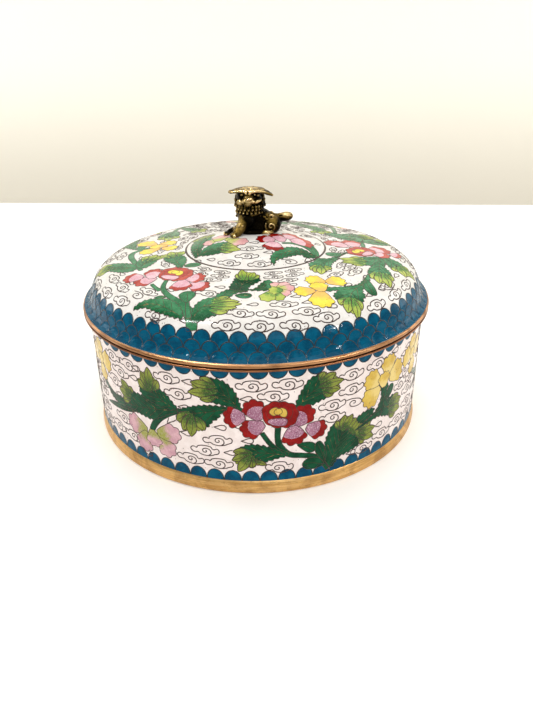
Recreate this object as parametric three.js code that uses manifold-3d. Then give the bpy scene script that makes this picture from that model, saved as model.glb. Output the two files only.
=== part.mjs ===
// A round cloisonne enamel box with a domed lift-off lid and a cast lion for a handle.
// Millimetres, +Z up. The origin is on the axis, at the underside of the foot band.
import * as THREE from 'three';
import { mergeVertices } from 'three/addons/utils/BufferGeometryUtils.js';
import Module from 'manifold-3d';

const wasm = await Module();
wasm.setup();

// ---- driving dimensions -------------------------------------------------------------
const SEGMENTS = 56; // steps round every turned piece
const WALL = 1.8; // copper and enamel together, on the body
const LID_WALL = 1.6;

const FOOT_RADIUS = 90;
const FOOT_HEIGHT = 6.8;
const FOOT_INNER = 87.4;
const FOOT_CLEARANCE = 0.3; // between the band and the pan that drops inside it

const BODY_RADIUS = 89;
const BODY_TOP = 65.4;
const FLOOR_UNDERSIDE = 3.4;

const RIM_RADIUS = 91.8; // both metal rims, the widest thing on the box
const FLANGE = 1.0; // thickness of the mouth ring's flange
const COLLAR_INNER = 83.8;
const COLLAR_WALL = 0.9;
const COLLAR_TOP = 71.0;
const LID_BASE = BODY_TOP + FLANGE;
const BEAD_INNER = 88.2;
const BEAD_TOP = LID_BASE + 2.5;

const SHOULDER_RADIUS = 87.64; // the lid's widest, above its flared edge
const CROWN_RADIUS = 66.2;
const SHOULDER_BASE = 67.6;
const CROWN_HEIGHT = 87.1;
const SHOULDER_POWER_R = 2.85; // how square the shoulder's curve is
const SHOULDER_POWER_Z = 2.11;
const SHOULDER_FIRST = 0.32; // radians, where the flared edge meets the shoulder
const SHOULDER_LAST = 1.3; // radians, where the shoulder meets the crown
const FLARE_RADIUS = 90.9;
const FLARE_PULL = [87.5, 69.7]; // radius and height that the flared edge bends towards
const CROWN_PULL = [58, 89.3]; // the same for the flat crown

const BOSS_RADIUS = 36.7;
const BOSS_EDGE = 91.0;
const SEAT = 98.5; // top of the boss, under the lion
const SEAT_GAP = 0.3;

// ---- materials ----------------------------------------------------------------------
const gilt = new THREE.MeshStandardMaterial({ color: 0xd7a55f, roughness: 0.34, metalness: 1 });
const copperGilt = new THREE.MeshStandardMaterial({ color: 0xbe8458, roughness: 0.36, metalness: 1 });
const enamel = new THREE.MeshStandardMaterial({ color: 0xefe6e2, roughness: 0.18, metalness: 0 });
const darkBrass = new THREE.MeshStandardMaterial({ color: 0x8f7440, roughness: 0.42, metalness: 1 });

// ---- turned pieces ------------------------------------------------------------------
const at = (r, z) => new THREE.Vector2(r, z);

// A profile that leaves the axis is closed on itself; one that starts on it also ends on it.
function turned(profile) {
  const onAxis = profile[0].x === 0;
  const outline = onAxis ? profile : [...profile, profile[0].clone()];
  return new THREE.LatheGeometry(outline, SEGMENTS).rotateX(Math.PI / 2);
}

// Points of a quadratic curve from a to c, bent towards b.
function bend(a, b, c, steps) {
  return new THREE.QuadraticBezierCurve(a, b, c).getPoints(steps);
}

// The same line moved sideways by the wall's thickness, towards the inside of the lid.
function inset(line, distance) {
  return line.map((point, i) => {
    const before = line[Math.max(i - 1, 0)];
    const after = line[Math.min(i + 1, line.length - 1)];
    const along = after.clone().sub(before).normalize();
    return at(Math.max(point.x - along.y * distance, 0), point.y + along.x * distance);
  });
}

function bossHeight(radius) {
  return SEAT - (SEAT - BOSS_EDGE) * (radius / BOSS_RADIUS) ** 2;
}

function shoulder(angle) {
  const across = Math.cos(angle) ** (2 / SHOULDER_POWER_R);
  const up = Math.sin(angle) ** (2 / SHOULDER_POWER_Z);
  return at(CROWN_RADIUS + (SHOULDER_RADIUS - CROWN_RADIUS) * across,
    SHOULDER_BASE + (CROWN_HEIGHT - SHOULDER_BASE) * up);
}

// The lid's line from above its flared edge over the shoulder and the boss to the axis.
function lidDome(shoulderSteps, crownSteps, bossSteps) {
  const curve = [];
  for (let i = 0; i <= shoulderSteps; i += 1) {
    curve.push(shoulder(SHOULDER_FIRST + (SHOULDER_LAST - SHOULDER_FIRST) * (i / shoulderSteps)));
  }
  const edge = at(BOSS_RADIUS, BOSS_EDGE);
  const crown = bend(curve.at(-1), at(...CROWN_PULL), edge, crownSteps).slice(1);
  const boss = [];
  for (let i = 1; i <= bossSteps; i += 1) {
    const radius = BOSS_RADIUS * (1 - i / bossSteps);
    boss.push(at(radius, bossHeight(radius)));
  }
  return [...curve, ...crown, ...boss];
}

function footBand() {
  return turned([
    at(FOOT_INNER, 0), at(FOOT_RADIUS - 0.6, 0), at(FOOT_RADIUS, 0.7), at(FOOT_RADIUS, 2.2),
    at(FOOT_RADIUS - 0.4, 4.4), at(FOOT_RADIUS - 1.1, 6.2), at(FOOT_RADIUS - 1.6, FOOT_HEIGHT),
    at(FOOT_INNER, FOOT_HEIGHT),
  ]);
}

function boxBody() {
  const inner = BODY_RADIUS - WALL;
  const floorTop = FLOOR_UNDERSIDE + WALL;
  const insideFoot = FOOT_INNER - FOOT_CLEARANCE;
  return turned([
    at(0, FLOOR_UNDERSIDE), at(insideFoot - 1.4, FLOOR_UNDERSIDE),
    at(insideFoot, FLOOR_UNDERSIDE + 1.2), at(insideFoot, FOOT_HEIGHT),
    at(BODY_RADIUS - 0.7, FOOT_HEIGHT), at(BODY_RADIUS, FOOT_HEIGHT + 0.8),
    at(BODY_RADIUS, BODY_TOP), at(inner, BODY_TOP), at(inner, floorTop + 5.5),
    at(inner - 0.9, floorTop + 2.6), at(inner - 2.6, floorTop + 0.9), at(inner - 5.5, floorTop),
    at(0, floorTop),
  ]);
}

function mouthRing() {
  const collarOuter = COLLAR_INNER + COLLAR_WALL;
  return turned([
    at(COLLAR_INNER, BODY_TOP), at(RIM_RADIUS - 0.3, BODY_TOP), at(RIM_RADIUS, BODY_TOP + 0.35),
    at(RIM_RADIUS, LID_BASE - 0.25), at(RIM_RADIUS - 0.2, LID_BASE),
    at(collarOuter, LID_BASE), at(collarOuter, COLLAR_TOP), at(COLLAR_INNER, COLLAR_TOP),
  ]);
}

function lidRim() {
  return turned([
    at(BEAD_INNER, LID_BASE), at(RIM_RADIUS - 1.6, LID_BASE),
    at(RIM_RADIUS - 0.8, LID_BASE + 0.45), at(RIM_RADIUS - 0.2, LID_BASE + 0.7),
    at(RIM_RADIUS, LID_BASE + 1.25), at(RIM_RADIUS - 0.15, LID_BASE + 1.9),
    at(RIM_RADIUS - 0.7, BEAD_TOP), at(BEAD_INNER, BEAD_TOP),
  ]);
}

function lidShell() {
  const dome = lidDome(6, 2, 4);
  const edge = at(FLARE_RADIUS, BEAD_TOP);
  const flare = bend(edge, at(...FLARE_PULL), dome[0], 3).slice(0, -1);
  const inside = inset(lidDome(5, 1, 2), LID_WALL);
  inside.at(-1).set(0, SEAT - LID_WALL);
  inside.unshift(at(inside[0].x, BEAD_TOP));
  return turned([...inside.reverse(), ...flare, ...dome]);
}

// ---- the cast lion ------------------------------------------------------------------
function solid(geometry) {
  geometry.deleteAttribute('normal');
  geometry.deleteAttribute('uv');
  const merged = mergeVertices(geometry, 1e-4);
  return new wasm.Manifold(new wasm.Mesh({
    numProp: 3,
    vertProperties: new Float32Array(merged.attributes.position.array),
    triVerts: new Uint32Array(merged.index.array),
  }));
}

function toGeometry(manifold) {
  const mesh = manifold.getMesh();
  const geometry = new THREE.BufferGeometry();
  geometry.setAttribute('position', new THREE.BufferAttribute(mesh.vertProperties, 3));
  geometry.setIndex(new THREE.BufferAttribute(mesh.triVerts, 1));
  return geometry;
}

// An egg-shaped lump: its centre, its half-sizes, and its turns about X, Y and Z in degrees.
function lump(centre, half, turns = [0, 0, 0]) {
  const radians = turns.map((degrees) => THREE.MathUtils.degToRad(degrees));
  return new THREE.SphereGeometry(1, 10, 7)
    .rotateX(Math.PI / 2)
    .scale(...half)
    .rotateX(radians[0])
    .rotateY(radians[1])
    .rotateZ(radians[2])
    .translate(...centre);
}

// A limb between two points, thick at the first and slimmer at the second.
function limb(from, to, thick, slim) {
  const start = new THREE.Vector3(...from);
  const end = new THREE.Vector3(...to);
  const along = end.clone().sub(start);
  const turn = new THREE.Quaternion().setFromUnitVectors(
    new THREE.Vector3(0, -1, 0), along.clone().normalize());
  const middle = start.clone().add(end).multiplyScalar(0.5);
  return new THREE.CylinderGeometry(thick, slim, along.length(), 8)
    .applyQuaternion(turn)
    .translate(middle.x, middle.y, middle.z);
}

function lionFinial() {
  const paws = [
    { shoulder: [-4.8, 1.8, 106.0], toe: [-9.8, -2.9, 98.6] },
    { shoulder: [-5.0, 7.0, 105.0], toe: [-12.6, 4.6, 98.1] },
  ];
  const haunches = [
    { hip: [8.6, 3.2, 102.0], foot: [5.2, -0.2, 98.7], lean: -8 },
    { hip: [8.6, 10.2, 102.0], foot: [5.0, 12.0, 98.4], lean: 8 },
  ];
  const pieces = [
    lump([-2.4, 5.2, 112.6], [8.3, 7.0, 7.6]), // mane and neck
    lump([-2.8, 2.6, 117.0], [7.4, 6.0, 4.9]), // head
    lump([-3.4, -2.6, 116.3], [3.5, 2.5, 2.4]), // muzzle
    lump([-3.4, -1.9, 113.9], [2.9, 2.3, 1.8]), // chin
    lump([-2.6, 2.4, 120.3], [8.0, 6.2, 2.2]), // brow
    lump([-9.2, 1.4, 119.7], [4.8, 3.4, 1.5], [0, -10, 14]), // ears, spread flat
    lump([4.8, 1.6, 119.2], [5.0, 3.4, 1.5], [0, 22, -10]),
    lump([-3.2, 4.4, 107.6], [7.3, 6.2, 5.6]), // chest
    lump([2.8, 6.4, 104.8], [8.8, 5.2, 4.2], [0, 14, 0]), // back
    lump([0.6, 6.6, 101.4], [6.4, 4.6, 4.6]), // belly
    lump([9.8, 7.0, 102.8], [4.6, 5.8, 4.4]), // rump
    limb([11.0, 7.2, 104.0], [16.0, 7.9, 105.2], 2.0, 1.8), // tail and its tuft
    lump([16.6, 7.9, 105.4], [3.8, 2.4, 2.2], [0, -10, 0]),
  ];
  for (const { shoulder: top, toe } of paws) {
    pieces.push(lump(top, [3.2, 3.0, 3.8]), limb(top, toe, 2.8, 2.2), lump(toe, [3.3, 2.6, 1.9]));
  }
  for (const { hip, foot, lean } of haunches) {
    pieces.push(lump(hip, [5.2, 3.4, 5.0], [lean, 0, 0]), lump(foot, [4.4, 2.1, 1.7]));
  }
  const body = pieces.map(solid).reduce((whole, piece) => whole.add(piece));
  const rest = [];
  const restSteps = 6;
  for (let i = 0; i <= restSteps; i += 1) {
    const radius = BOSS_RADIUS * (1 - i / restSteps);
    rest.push(at(radius, bossHeight(radius) + SEAT_GAP));
  }
  const under = BOSS_EDGE - 6; // well below the lion
  const bossBelow = solid(turned([at(0, under), at(BOSS_RADIUS, under), ...rest]));
  return toGeometry(body.subtract(bossBelow));
}

// ---- the box ------------------------------------------------------------------------
function part(name, geometry, material) {
  const mesh = new THREE.Mesh(geometry, material);
  mesh.name = name;
  return mesh;
}

const group = new THREE.Group();
group.add(
  part('foot_band', footBand(), gilt),
  part('box_body', boxBody(), enamel),
  part('mouth_ring', mouthRing(), copperGilt),
);

const lid = new THREE.Group();
lid.add(
  part('lid_rim', lidRim(), copperGilt),
  part('lid_shell', lidShell(), enamel),
  part('lion_finial', lionFinial(), darkBrass),
);
group.add(lid);

export default group;
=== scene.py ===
import math

import bpy
import numpy as np
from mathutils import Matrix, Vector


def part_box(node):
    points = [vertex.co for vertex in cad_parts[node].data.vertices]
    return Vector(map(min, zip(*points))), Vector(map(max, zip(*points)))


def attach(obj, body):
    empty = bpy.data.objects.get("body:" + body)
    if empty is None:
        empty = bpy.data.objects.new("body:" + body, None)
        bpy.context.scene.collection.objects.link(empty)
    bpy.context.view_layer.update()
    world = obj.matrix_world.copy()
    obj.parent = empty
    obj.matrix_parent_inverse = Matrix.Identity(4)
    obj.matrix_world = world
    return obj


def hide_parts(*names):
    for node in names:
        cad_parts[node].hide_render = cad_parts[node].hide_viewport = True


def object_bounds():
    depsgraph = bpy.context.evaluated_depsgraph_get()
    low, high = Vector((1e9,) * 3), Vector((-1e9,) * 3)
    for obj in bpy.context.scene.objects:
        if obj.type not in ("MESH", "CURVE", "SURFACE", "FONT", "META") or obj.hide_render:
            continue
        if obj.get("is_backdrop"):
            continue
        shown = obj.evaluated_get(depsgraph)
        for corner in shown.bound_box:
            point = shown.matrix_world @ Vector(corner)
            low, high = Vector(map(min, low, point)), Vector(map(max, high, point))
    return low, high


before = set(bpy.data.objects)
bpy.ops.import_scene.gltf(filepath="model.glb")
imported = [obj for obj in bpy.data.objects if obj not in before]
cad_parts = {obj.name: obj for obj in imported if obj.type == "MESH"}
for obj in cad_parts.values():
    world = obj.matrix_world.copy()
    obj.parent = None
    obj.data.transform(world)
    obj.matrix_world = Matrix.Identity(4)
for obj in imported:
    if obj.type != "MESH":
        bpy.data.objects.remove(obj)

import openvdb
from mathutils import Matrix, Vector
from mathutils.geometry import delaunay_2d_cdt

cad_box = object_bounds()

# All lengths below are in millimetres until a mesh is made.
MM = 0.001


def corner(node, end, axis):
    """One number of a CAD node's box, in millimetres: end 0 is the low corner, 1 the high one."""
    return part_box(node)[end]["xyz".index(axis)] / MM


FOOT_R = corner("foot_band", 1, "x")
FOOT_TOP = corner("foot_band", 1, "z")
BODY_R = corner("box_body", 1, "x")
BODY_FLOOR = corner("box_body", 0, "z")
BODY_TOP = corner("box_body", 1, "z")
RIM_R = corner("lid_rim", 1, "x")
LID_BASE = corner("lid_rim", 0, "z")
BEAD_TOP = corner("lid_rim", 1, "z")
FLARE_R = corner("lid_shell", 1, "x")
SEAT = corner("lid_shell", 1, "z")
COLLAR_TOP = corner("mouth_ring", 1, "z")
WALL = 1.8
LID_WALL = 1.6
BOSS_R = 36.7
BOSS_EDGE = 91.0


# ---- the lines that the turned pieces follow ------------------------------------------
def bend(start, towards, end, steps):
    """Points of a curve from start to end, pulled towards a third point."""
    t = np.linspace(0, 1, steps + 1)[:, None]
    a, b, c = (np.array(p, float) for p in (start, towards, end))
    return (1 - t) ** 2 * a + 2 * t * (1 - t) * b + t ** 2 * c


def arc_round(centre, radius, first, last, steps):
    """Points of a round corner, from one angle to another in degrees."""
    angles = np.radians(np.linspace(first, last, steps + 1))
    return np.stack([centre[0] + radius * np.cos(angles), centre[1] + radius * np.sin(angles)], -1)


def chain(*parts):
    """Joins points and runs of points into one line, leaving out doubles."""
    line = np.concatenate([np.atleast_2d(np.array(part, float)) for part in parts])
    keep = np.ones(len(line), bool)
    keep[1:] = np.hypot(*np.diff(line, axis=0).T) > 1e-5
    return line[keep]


def shoulder(angle):
    """The lid's rounded shoulder, a squared-off quarter of an oval."""
    crown_r, side_r, base, top = 66.2, 87.64, 67.6, 87.1
    square_out, square_up = 2.85, 2.11
    radius = crown_r + (side_r - crown_r) * np.cos(angle) ** (2 / square_out)
    height = base + (top - base) * np.sin(angle) ** (2 / square_up)
    return np.stack([radius, height], -1)


def boss_height(radius):
    return SEAT - (SEAT - BOSS_EDGE) * (radius / BOSS_R) ** 2


def lid_line():
    """The lid's outside from its flared edge up to the axis."""
    dome_starts, dome_ends = 0.32, 1.3
    flare_turns, crown_turns = (87.5, 69.7), (58, 89.3)
    dome = shoulder(np.linspace(dome_starts, dome_ends, 40))
    flare = bend((FLARE_R, BEAD_TOP), flare_turns, dome[0], 14)
    crown = bend(dome[-1], crown_turns, (BOSS_R, BOSS_EDGE), 24)
    radii = np.linspace(BOSS_R, 0, 33)
    return chain(flare, dome, crown, np.stack([radii, boss_height(radii)], -1))


def sideways(line, distance):
    """The same line moved to its left by a distance."""
    along = np.gradient(line, axis=0)
    along /= np.hypot(*along.T)[:, None]
    return line + distance * np.stack([-along[:, 1], along[:, 0]], -1)


LID_LINE = lid_line()
LID_ARC = np.concatenate([[0], np.cumsum(np.hypot(*np.diff(LID_LINE, axis=0).T))])
LID_REACH = LID_ARC[-1]
LID_OUT = -(sideways(LID_LINE, 1.0) - LID_LINE)
BOSS_REACH = LID_REACH - np.interp(-BOSS_R, -LID_LINE[:, 0], LID_ARC)


# ---- flat patterns and how each is wrapped on its shell ---------------------------------
def wrap_wall(flat):
    """x runs round the body's wall, y up it, and the third number stands off it."""
    angle, radius = flat[:, 0] / BODY_R, BODY_R + flat[:, 2]
    return np.stack([radius * np.sin(angle), -radius * np.cos(angle), flat[:, 1]], -1)


def on_lid(arc, lift):
    """Radius and height of points that far along the lid's line, standing off it by lift."""
    out_r = np.interp(arc, LID_ARC, LID_OUT[:, 0])
    out_z = np.interp(arc, LID_ARC, LID_OUT[:, 1])
    radius = np.interp(arc, LID_ARC, LID_LINE[:, 0]) + lift * out_r
    height = np.interp(arc, LID_ARC, LID_LINE[:, 1]) + lift * out_z
    return radius, height


def wrap_crown(flat):
    """The pattern is laid out as seen from above, with every distance from the axis true."""
    reach = np.hypot(flat[:, 0], flat[:, 1])
    radius, height = on_lid(LID_REACH - reach, flat[:, 2])
    ratio = radius / np.maximum(reach, 1e-9)
    return np.stack([flat[:, 0] * ratio, flat[:, 1] * ratio, height], -1)


def wrap_skirt(flat):
    """x runs round the lid's edge, and y up the lid from it."""
    angle = flat[:, 0] / RIM_R
    radius, height = on_lid(flat[:, 1], flat[:, 2])
    return np.stack([radius * np.sin(angle), -radius * np.cos(angle), height], -1)


# ---- meshes -------------------------------------------------------------------------------
def mesh_object(name, points, faces, materials, kinds=None):
    """One piece from points in millimetres, its faces, and which material each face has."""
    mesh = bpy.data.meshes.new(name)
    mesh.from_pydata((np.asarray(points) * MM).tolist(), [], [list(map(int, f)) for f in faces])
    for material in materials:
        mesh.materials.append(material)
    if kinds is not None:
        mesh.polygons.foreach_set("material_index", np.asarray(kinds, dtype=np.int32))
    mesh.polygons.foreach_set("use_smooth", np.ones(len(mesh.polygons), bool))
    mesh.update()
    piece = bpy.data.objects.new(name, mesh)
    bpy.context.collection.objects.link(piece)
    return piece


def mark_points(piece, label, numbers):
    """A number on each point of a piece, for its material to read."""
    mark = piece.data.attributes.new(label, "FLOAT", "POINT")
    mark.data.foreach_set("value", np.asarray(numbers, np.float32))


def settle(piece, slot, *nodes):
    """A finished piece rides on the box, and may stand for CAD nodes."""
    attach(piece, "root")
    if nodes:
        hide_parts(*nodes)
    return piece


def plain(piece, name):
    """The piece's evaluated shape as a plain mesh under a new name; the old object goes."""
    bpy.context.view_layer.update()
    seen = piece.evaluated_get(bpy.context.evaluated_depsgraph_get())
    mesh = bpy.data.meshes.new_from_object(seen)
    mesh.name = name
    bpy.data.objects.remove(piece)
    made = bpy.data.objects.new(name, mesh)
    bpy.context.collection.objects.link(made)
    return made


def read_points(piece):
    points = np.empty(len(piece.data.vertices) * 3)
    piece.data.vertices.foreach_get("co", points)
    return points.reshape(-1, 3) / MM


def wrapped(piece, wrap, lift=0.0, flatten=1.0):
    """Carries a flat piece onto its shell."""
    flat = read_points(piece)
    flat[:, 2] = flat[:, 2] * flatten + lift
    piece.data.vertices.foreach_set("co", (wrap(flat) * MM).ravel())
    piece.data.update()
    return piece


# ---- node trees ---------------------------------------------------------------------------
def add_node(tree, kind, settings=None, inputs=None):
    """One node: its settings come first, then the numbers or links of its sockets."""
    made = tree.nodes.new(kind)
    for name, value in (settings or {}).items():
        if name == "stops":
            while len(made.color_ramp.elements) < len(value):
                made.color_ramp.elements.new(1.0)
            for element, (position, colour) in zip(made.color_ramp.elements, value):
                element.position, element.color = position, colour
        else:
            setattr(made, name, value)
    for name, value in (inputs or {}).items():
        value = getattr(value, "socket", value)
        if isinstance(value, bpy.types.NodeSocket):
            tree.links.new(value, made.inputs[name])
        else:
            made.inputs[name].default_value = value
    return made


class GrowingTree:
    """A geometry tree with named inputs, and the plain meshes it grows."""

    def __init__(self, name, **sockets):
        self.tree = bpy.data.node_groups.new(name, "GeometryNodeTree")
        face = self.tree.interface
        face.new_socket("Geometry", in_out="OUTPUT", socket_type="NodeSocketGeometry")
        self.names = {}
        for label, kind in sockets.items():
            socket = face.new_socket(label, in_out="INPUT", socket_type="NodeSocket" + kind)
            self.names[label] = socket.identifier
        self.given = self.tree.nodes.new("NodeGroupInput").outputs

    def node(self, kind, settings=None, inputs=None):
        return add_node(self.tree, kind, settings, inputs)

    def attribute(self, name, kind="FLOAT"):
        named = self.node("GeometryNodeInputNamedAttribute", {"data_type": kind}, {"Name": name})
        return named.outputs[0]

    def object_shape(self, label):
        shape = self.node("GeometryNodeObjectInfo", None, {"Object": self.given[label]})
        return shape.outputs["Geometry"]

    def end(self, shape, *materials):
        """Realizes the shape, gives it each material with its selection, and ends the tree."""
        shape = self.node("GeometryNodeRealizeInstances", None, {"Geometry": shape}).outputs[0]
        for material, selection in materials:
            links = {"Geometry": shape, "Material": material}
            if selection is not None:
                links["Selection"] = selection
            shape = self.node("GeometryNodeSetMaterial", None, links).outputs[0]
        out = self.tree.nodes.new("NodeGroupOutput")
        self.tree.links.new(shape, out.inputs[0])
        return self

    def grow(self, name, **values):
        holder = bpy.data.objects.new("holder", bpy.data.meshes.new("holder"))
        bpy.context.collection.objects.link(holder)
        modifier = holder.modifiers.new("grow", "NODES")
        modifier.node_group = self.tree
        for label, value in values.items():
            modifier[self.names[label]] = value
        return plain(holder, name)


def template(name, points, edges=(), faces=(), **marks):
    """A hidden shape, in millimetres, that a tree reads; marks are numbers on its points."""
    mesh = bpy.data.meshes.new(name)
    mesh.from_pydata((np.asarray(points, float) * MM).tolist(), list(edges), list(faces))
    for label, numbers in marks.items():
        whole = np.asarray(numbers).dtype.kind in "iu"
        mark = mesh.attributes.new(label, "INT" if whole else "FLOAT", "POINT")
        mark.data.foreach_set("value", np.asarray(numbers, np.int32 if whole else np.float32))
    return bpy.data.objects.new(name, mesh)


def path_edges(count, closed=False):
    edges = [(i, i + 1) for i in range(count - 1)]
    return edges + [(count - 1, 0)] if closed else edges


def turning_tree():
    """Turns a line about the upright axis; the part marked lining has a second material."""
    tree = GrowingTree("turned_piece", Line="Object", Steps="Int", Reach="Float",
                       Outside="Material", Lining="Material")
    line = tree.node("GeometryNodeMeshToCurve", None, {
        "Mesh": tree.object_shape("Line")}).outputs[0]
    circle = tree.node("GeometryNodeCurvePrimitiveCircle", None, {
        "Resolution": tree.given["Steps"], "Radius": tree.given["Reach"]}).outputs[0]
    upright = tree.node("GeometryNodeSetCurveNormal", {"mode": "Z_UP"}, {
        "Curve": circle}).outputs[0]
    shell = tree.node("GeometryNodeCurveToMesh", None, {
        "Curve": upright, "Profile Curve": line}).outputs[0]
    shut = tree.node("GeometryNodeMergeByDistance", None, {
        "Geometry": shell, "Distance": 1e-6}).outputs[0]
    smooth = tree.node("GeometryNodeSetShadeSmooth", None, {"Geometry": shut}).outputs[0]
    inner = tree.node("FunctionNodeCompare", {"data_type": "FLOAT", "operation": "GREATER_THAN"},
                      {"A": tree.attribute("lining"), "B": 0.5}).outputs[0]
    return tree.end(smooth, (tree.given["Outside"], None), (tree.given["Lining"], inner))


STEPS_ROUND = 360


def eased(line, size, closed=False):
    """The line with its sharp corners rounded off."""
    rounded_line = []
    count = len(line)
    for i, point in enumerate(line):
        if not closed and i in (0, count - 1):
            rounded_line.append(point)
            continue
        before, after = line[i - 1] - point, line[(i + 1) % count] - point
        reach_a, reach_b = np.hypot(*before), np.hypot(*after)
        bent = abs(before @ after / (reach_a * reach_b) + 1) > 0.06
        if not bent:
            rounded_line.append(point)
            continue
        start = point + before / reach_a * min(size, reach_a * 0.45)
        stop = point + after / reach_b * min(size, reach_b * 0.45)
        rounded_line.extend(bend(start, point, stop, 4))
    return np.array(rounded_line)


def turned_piece(tree, name, line, outside, lining=None, lined=None, closed=True):
    """A turned piece from its line of radius and height; lined marks the points of its lining."""
    reach = 50.0
    lined = np.zeros(len(line)) if lined is None else lined
    after = np.roll(line, -1, axis=0)
    if np.sum(line[:, 0] * after[:, 1] - line[:, 1] * after[:, 0]) > 0:
        line, lined = line[::-1], lined[::-1]  # so that its faces point outwards
    flat = np.stack([line[:, 0] - reach, -line[:, 1], np.zeros(len(line))], -1)
    drawn = template(name + "_line", flat, path_edges(len(line), closed),
                     lining=lined.astype(float))
    return tree.grow(name, Line=drawn, Steps=STEPS_ROUND, Reach=reach * MM, Outside=outside,
                     Lining=lining or outside)


# ---- shader sums ----------------------------------------------------------------------------
class Value:
    """A number that changes over a surface; a sum on it becomes a Math node."""

    def __init__(self, finish, socket):
        self.finish, self.socket = finish, socket

    def __add__(self, other):
        return self.finish.maths("ADD", self, other)

    def __sub__(self, other):
        return self.finish.maths("SUBTRACT", self, other)

    def __rsub__(self, other):
        return self.finish.maths("SUBTRACT", other, self)

    def __mul__(self, other):
        return self.finish.maths("MULTIPLY", self, other)

    def __lt__(self, other):
        return self.finish.maths("LESS_THAN", self, other)

    __radd__, __rmul__ = __add__, __mul__


def paint(colour):
    """A colour as it is seen, 0 to 255, made ready for a shader."""
    seen = np.array(colour) / 255
    linear = np.where(seen < 0.04045, seen / 12.92, ((seen + 0.055) / 1.055) ** 2.4)
    return (*map(float, linear), 1.0)


class Finish:
    """A material on the pieces' own coordinates, with the patterns that its finishes share."""

    def __init__(self, name, **even):
        self.material = bpy.data.materials.new(name)
        self.material.use_nodes = True
        self.tree = self.material.node_tree
        self.shader = self.tree.nodes["Principled BSDF"]
        self.place = self.node("ShaderNodeTexCoord").outputs["Object"]
        for label, value in even.items():
            socket = label.replace("_", " ").title().replace("Ior", "IOR")
            self.shader.inputs[socket].default_value = value

    def node(self, kind, settings=None, inputs=None):
        return add_node(self.tree, kind, settings, inputs)

    def maths(self, operation, *values):
        return Value(self, self.node("ShaderNodeMath", {"operation": operation},
                                     dict(enumerate(values))).outputs[0])

    def attribute(self, name):
        mark = self.node("ShaderNodeAttribute", {"attribute_name": name})
        return Value(self, mark.outputs["Fac"])

    def stretched(self, across, around, up):
        """The place scaled differently along each way, for drawn-out patterns."""
        return self.node("ShaderNodeVectorMath", {"operation": "MULTIPLY"},
                         {0: self.place, 1: (across, around, up)}).outputs[0]

    def noise(self, size, detail=3.0, place=None, warp=0.0):
        """Cloudy noise whose lumps are about size millimetres across."""
        inputs = {"Vector": place or self.place, "Scale": 1 / (size * MM), "Detail": detail,
                  "Distortion": warp}
        return Value(self, self.node("ShaderNodeTexNoise", None, inputs).outputs["Fac"])

    def specks(self, size, share):
        """Dots, in a share of the cells of a loose grid of that size in millimetres."""
        cells = self.node("ShaderNodeTexVoronoi", None,
                          {"Vector": self.place, "Scale": 1 / (size * MM)}).outputs
        chance = self.node("ShaderNodeSeparateColor", None, {"Color": cells["Color"]}).outputs[0]
        return (Value(self, cells["Distance"]) < 0.26) * (Value(self, chance) < share)

    def between(self, value, low, high):
        """0 below low, 1 above high, and a soft step between them."""
        return Value(self, self.node("ShaderNodeMapRange", {"interpolation_type": "SMOOTHSTEP"}, {
            "Value": value, "From Min": low, "From Max": high}).outputs[0])

    def mixed(self, share, under, over):
        """One colour over another, by a share. Each is a link, or a colour as it is seen."""
        under, over = (paint(tone) if isinstance(tone, tuple) else tone for tone in (under, over))
        made = self.node("ShaderNodeMix", {"data_type": "RGBA"}, {0: share, 6: under, 7: over})
        return made.outputs[2]

    def set(self, label, value):
        value = getattr(value, "socket", value)
        if isinstance(value, bpy.types.NodeSocket):
            self.tree.links.new(value, self.shader.inputs[label])
        else:
            self.shader.inputs[label].default_value = value

    def raised(self, height, depth):
        """Bumps whose height, from 0 to 1, stands for that many millimetres."""
        bump = self.node("ShaderNodeBump", None, {"Height": height, "Distance": depth * MM})
        self.tree.links.new(bump.outputs[0], self.shader.inputs["Normal"])


PIT_BROWN = (58, 44, 38)
NICK_BROWN = (92, 58, 30)


def enamel(name, base, deep, light, second=None, grain=0.35, pits=0.10, gloss=0.13, shine=0.14):
    """Fired glass: cloudy between a deep and a light shade, grainy, pitted and well polished.
    Where a cell's fade mark goes from 0 to 1, a second glass runs into the first."""
    finish = Finish(name + "_enamel", ior=1.45, specular_ior_level=shine)
    clouds = finish.between(finish.noise(5.0, 4.0, warp=0.6), 0.36, 0.66)
    colour = finish.mixed(clouds, deep, base)
    if second:
        wavy = finish.attribute("fade") + (finish.noise(1.6, 2.0) - 0.5) * 0.5
        colour = finish.mixed(finish.between(wavy, 0.34, 0.72), colour, second)
    glaze_grain = finish.between(finish.noise(0.42, 2.0), 0.5, 0.72) * grain
    colour = finish.mixed(glaze_grain, colour, light)
    holes = finish.specks(1.1, pits)
    colour = finish.mixed(holes * 0.55, colour, PIT_BROWN)
    finish.set("Base Color", colour)
    finish.set("Roughness", finish.noise(14.0, 3.0) * 0.12 + holes * 0.35 + (gloss - 0.06))
    ripple = finish.noise(9.0, 2.0) * 0.6 + finish.noise(0.6, 2.0) * 0.10 - holes * 0.4
    finish.raised(ripple, 0.12)
    return finish.material


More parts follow.
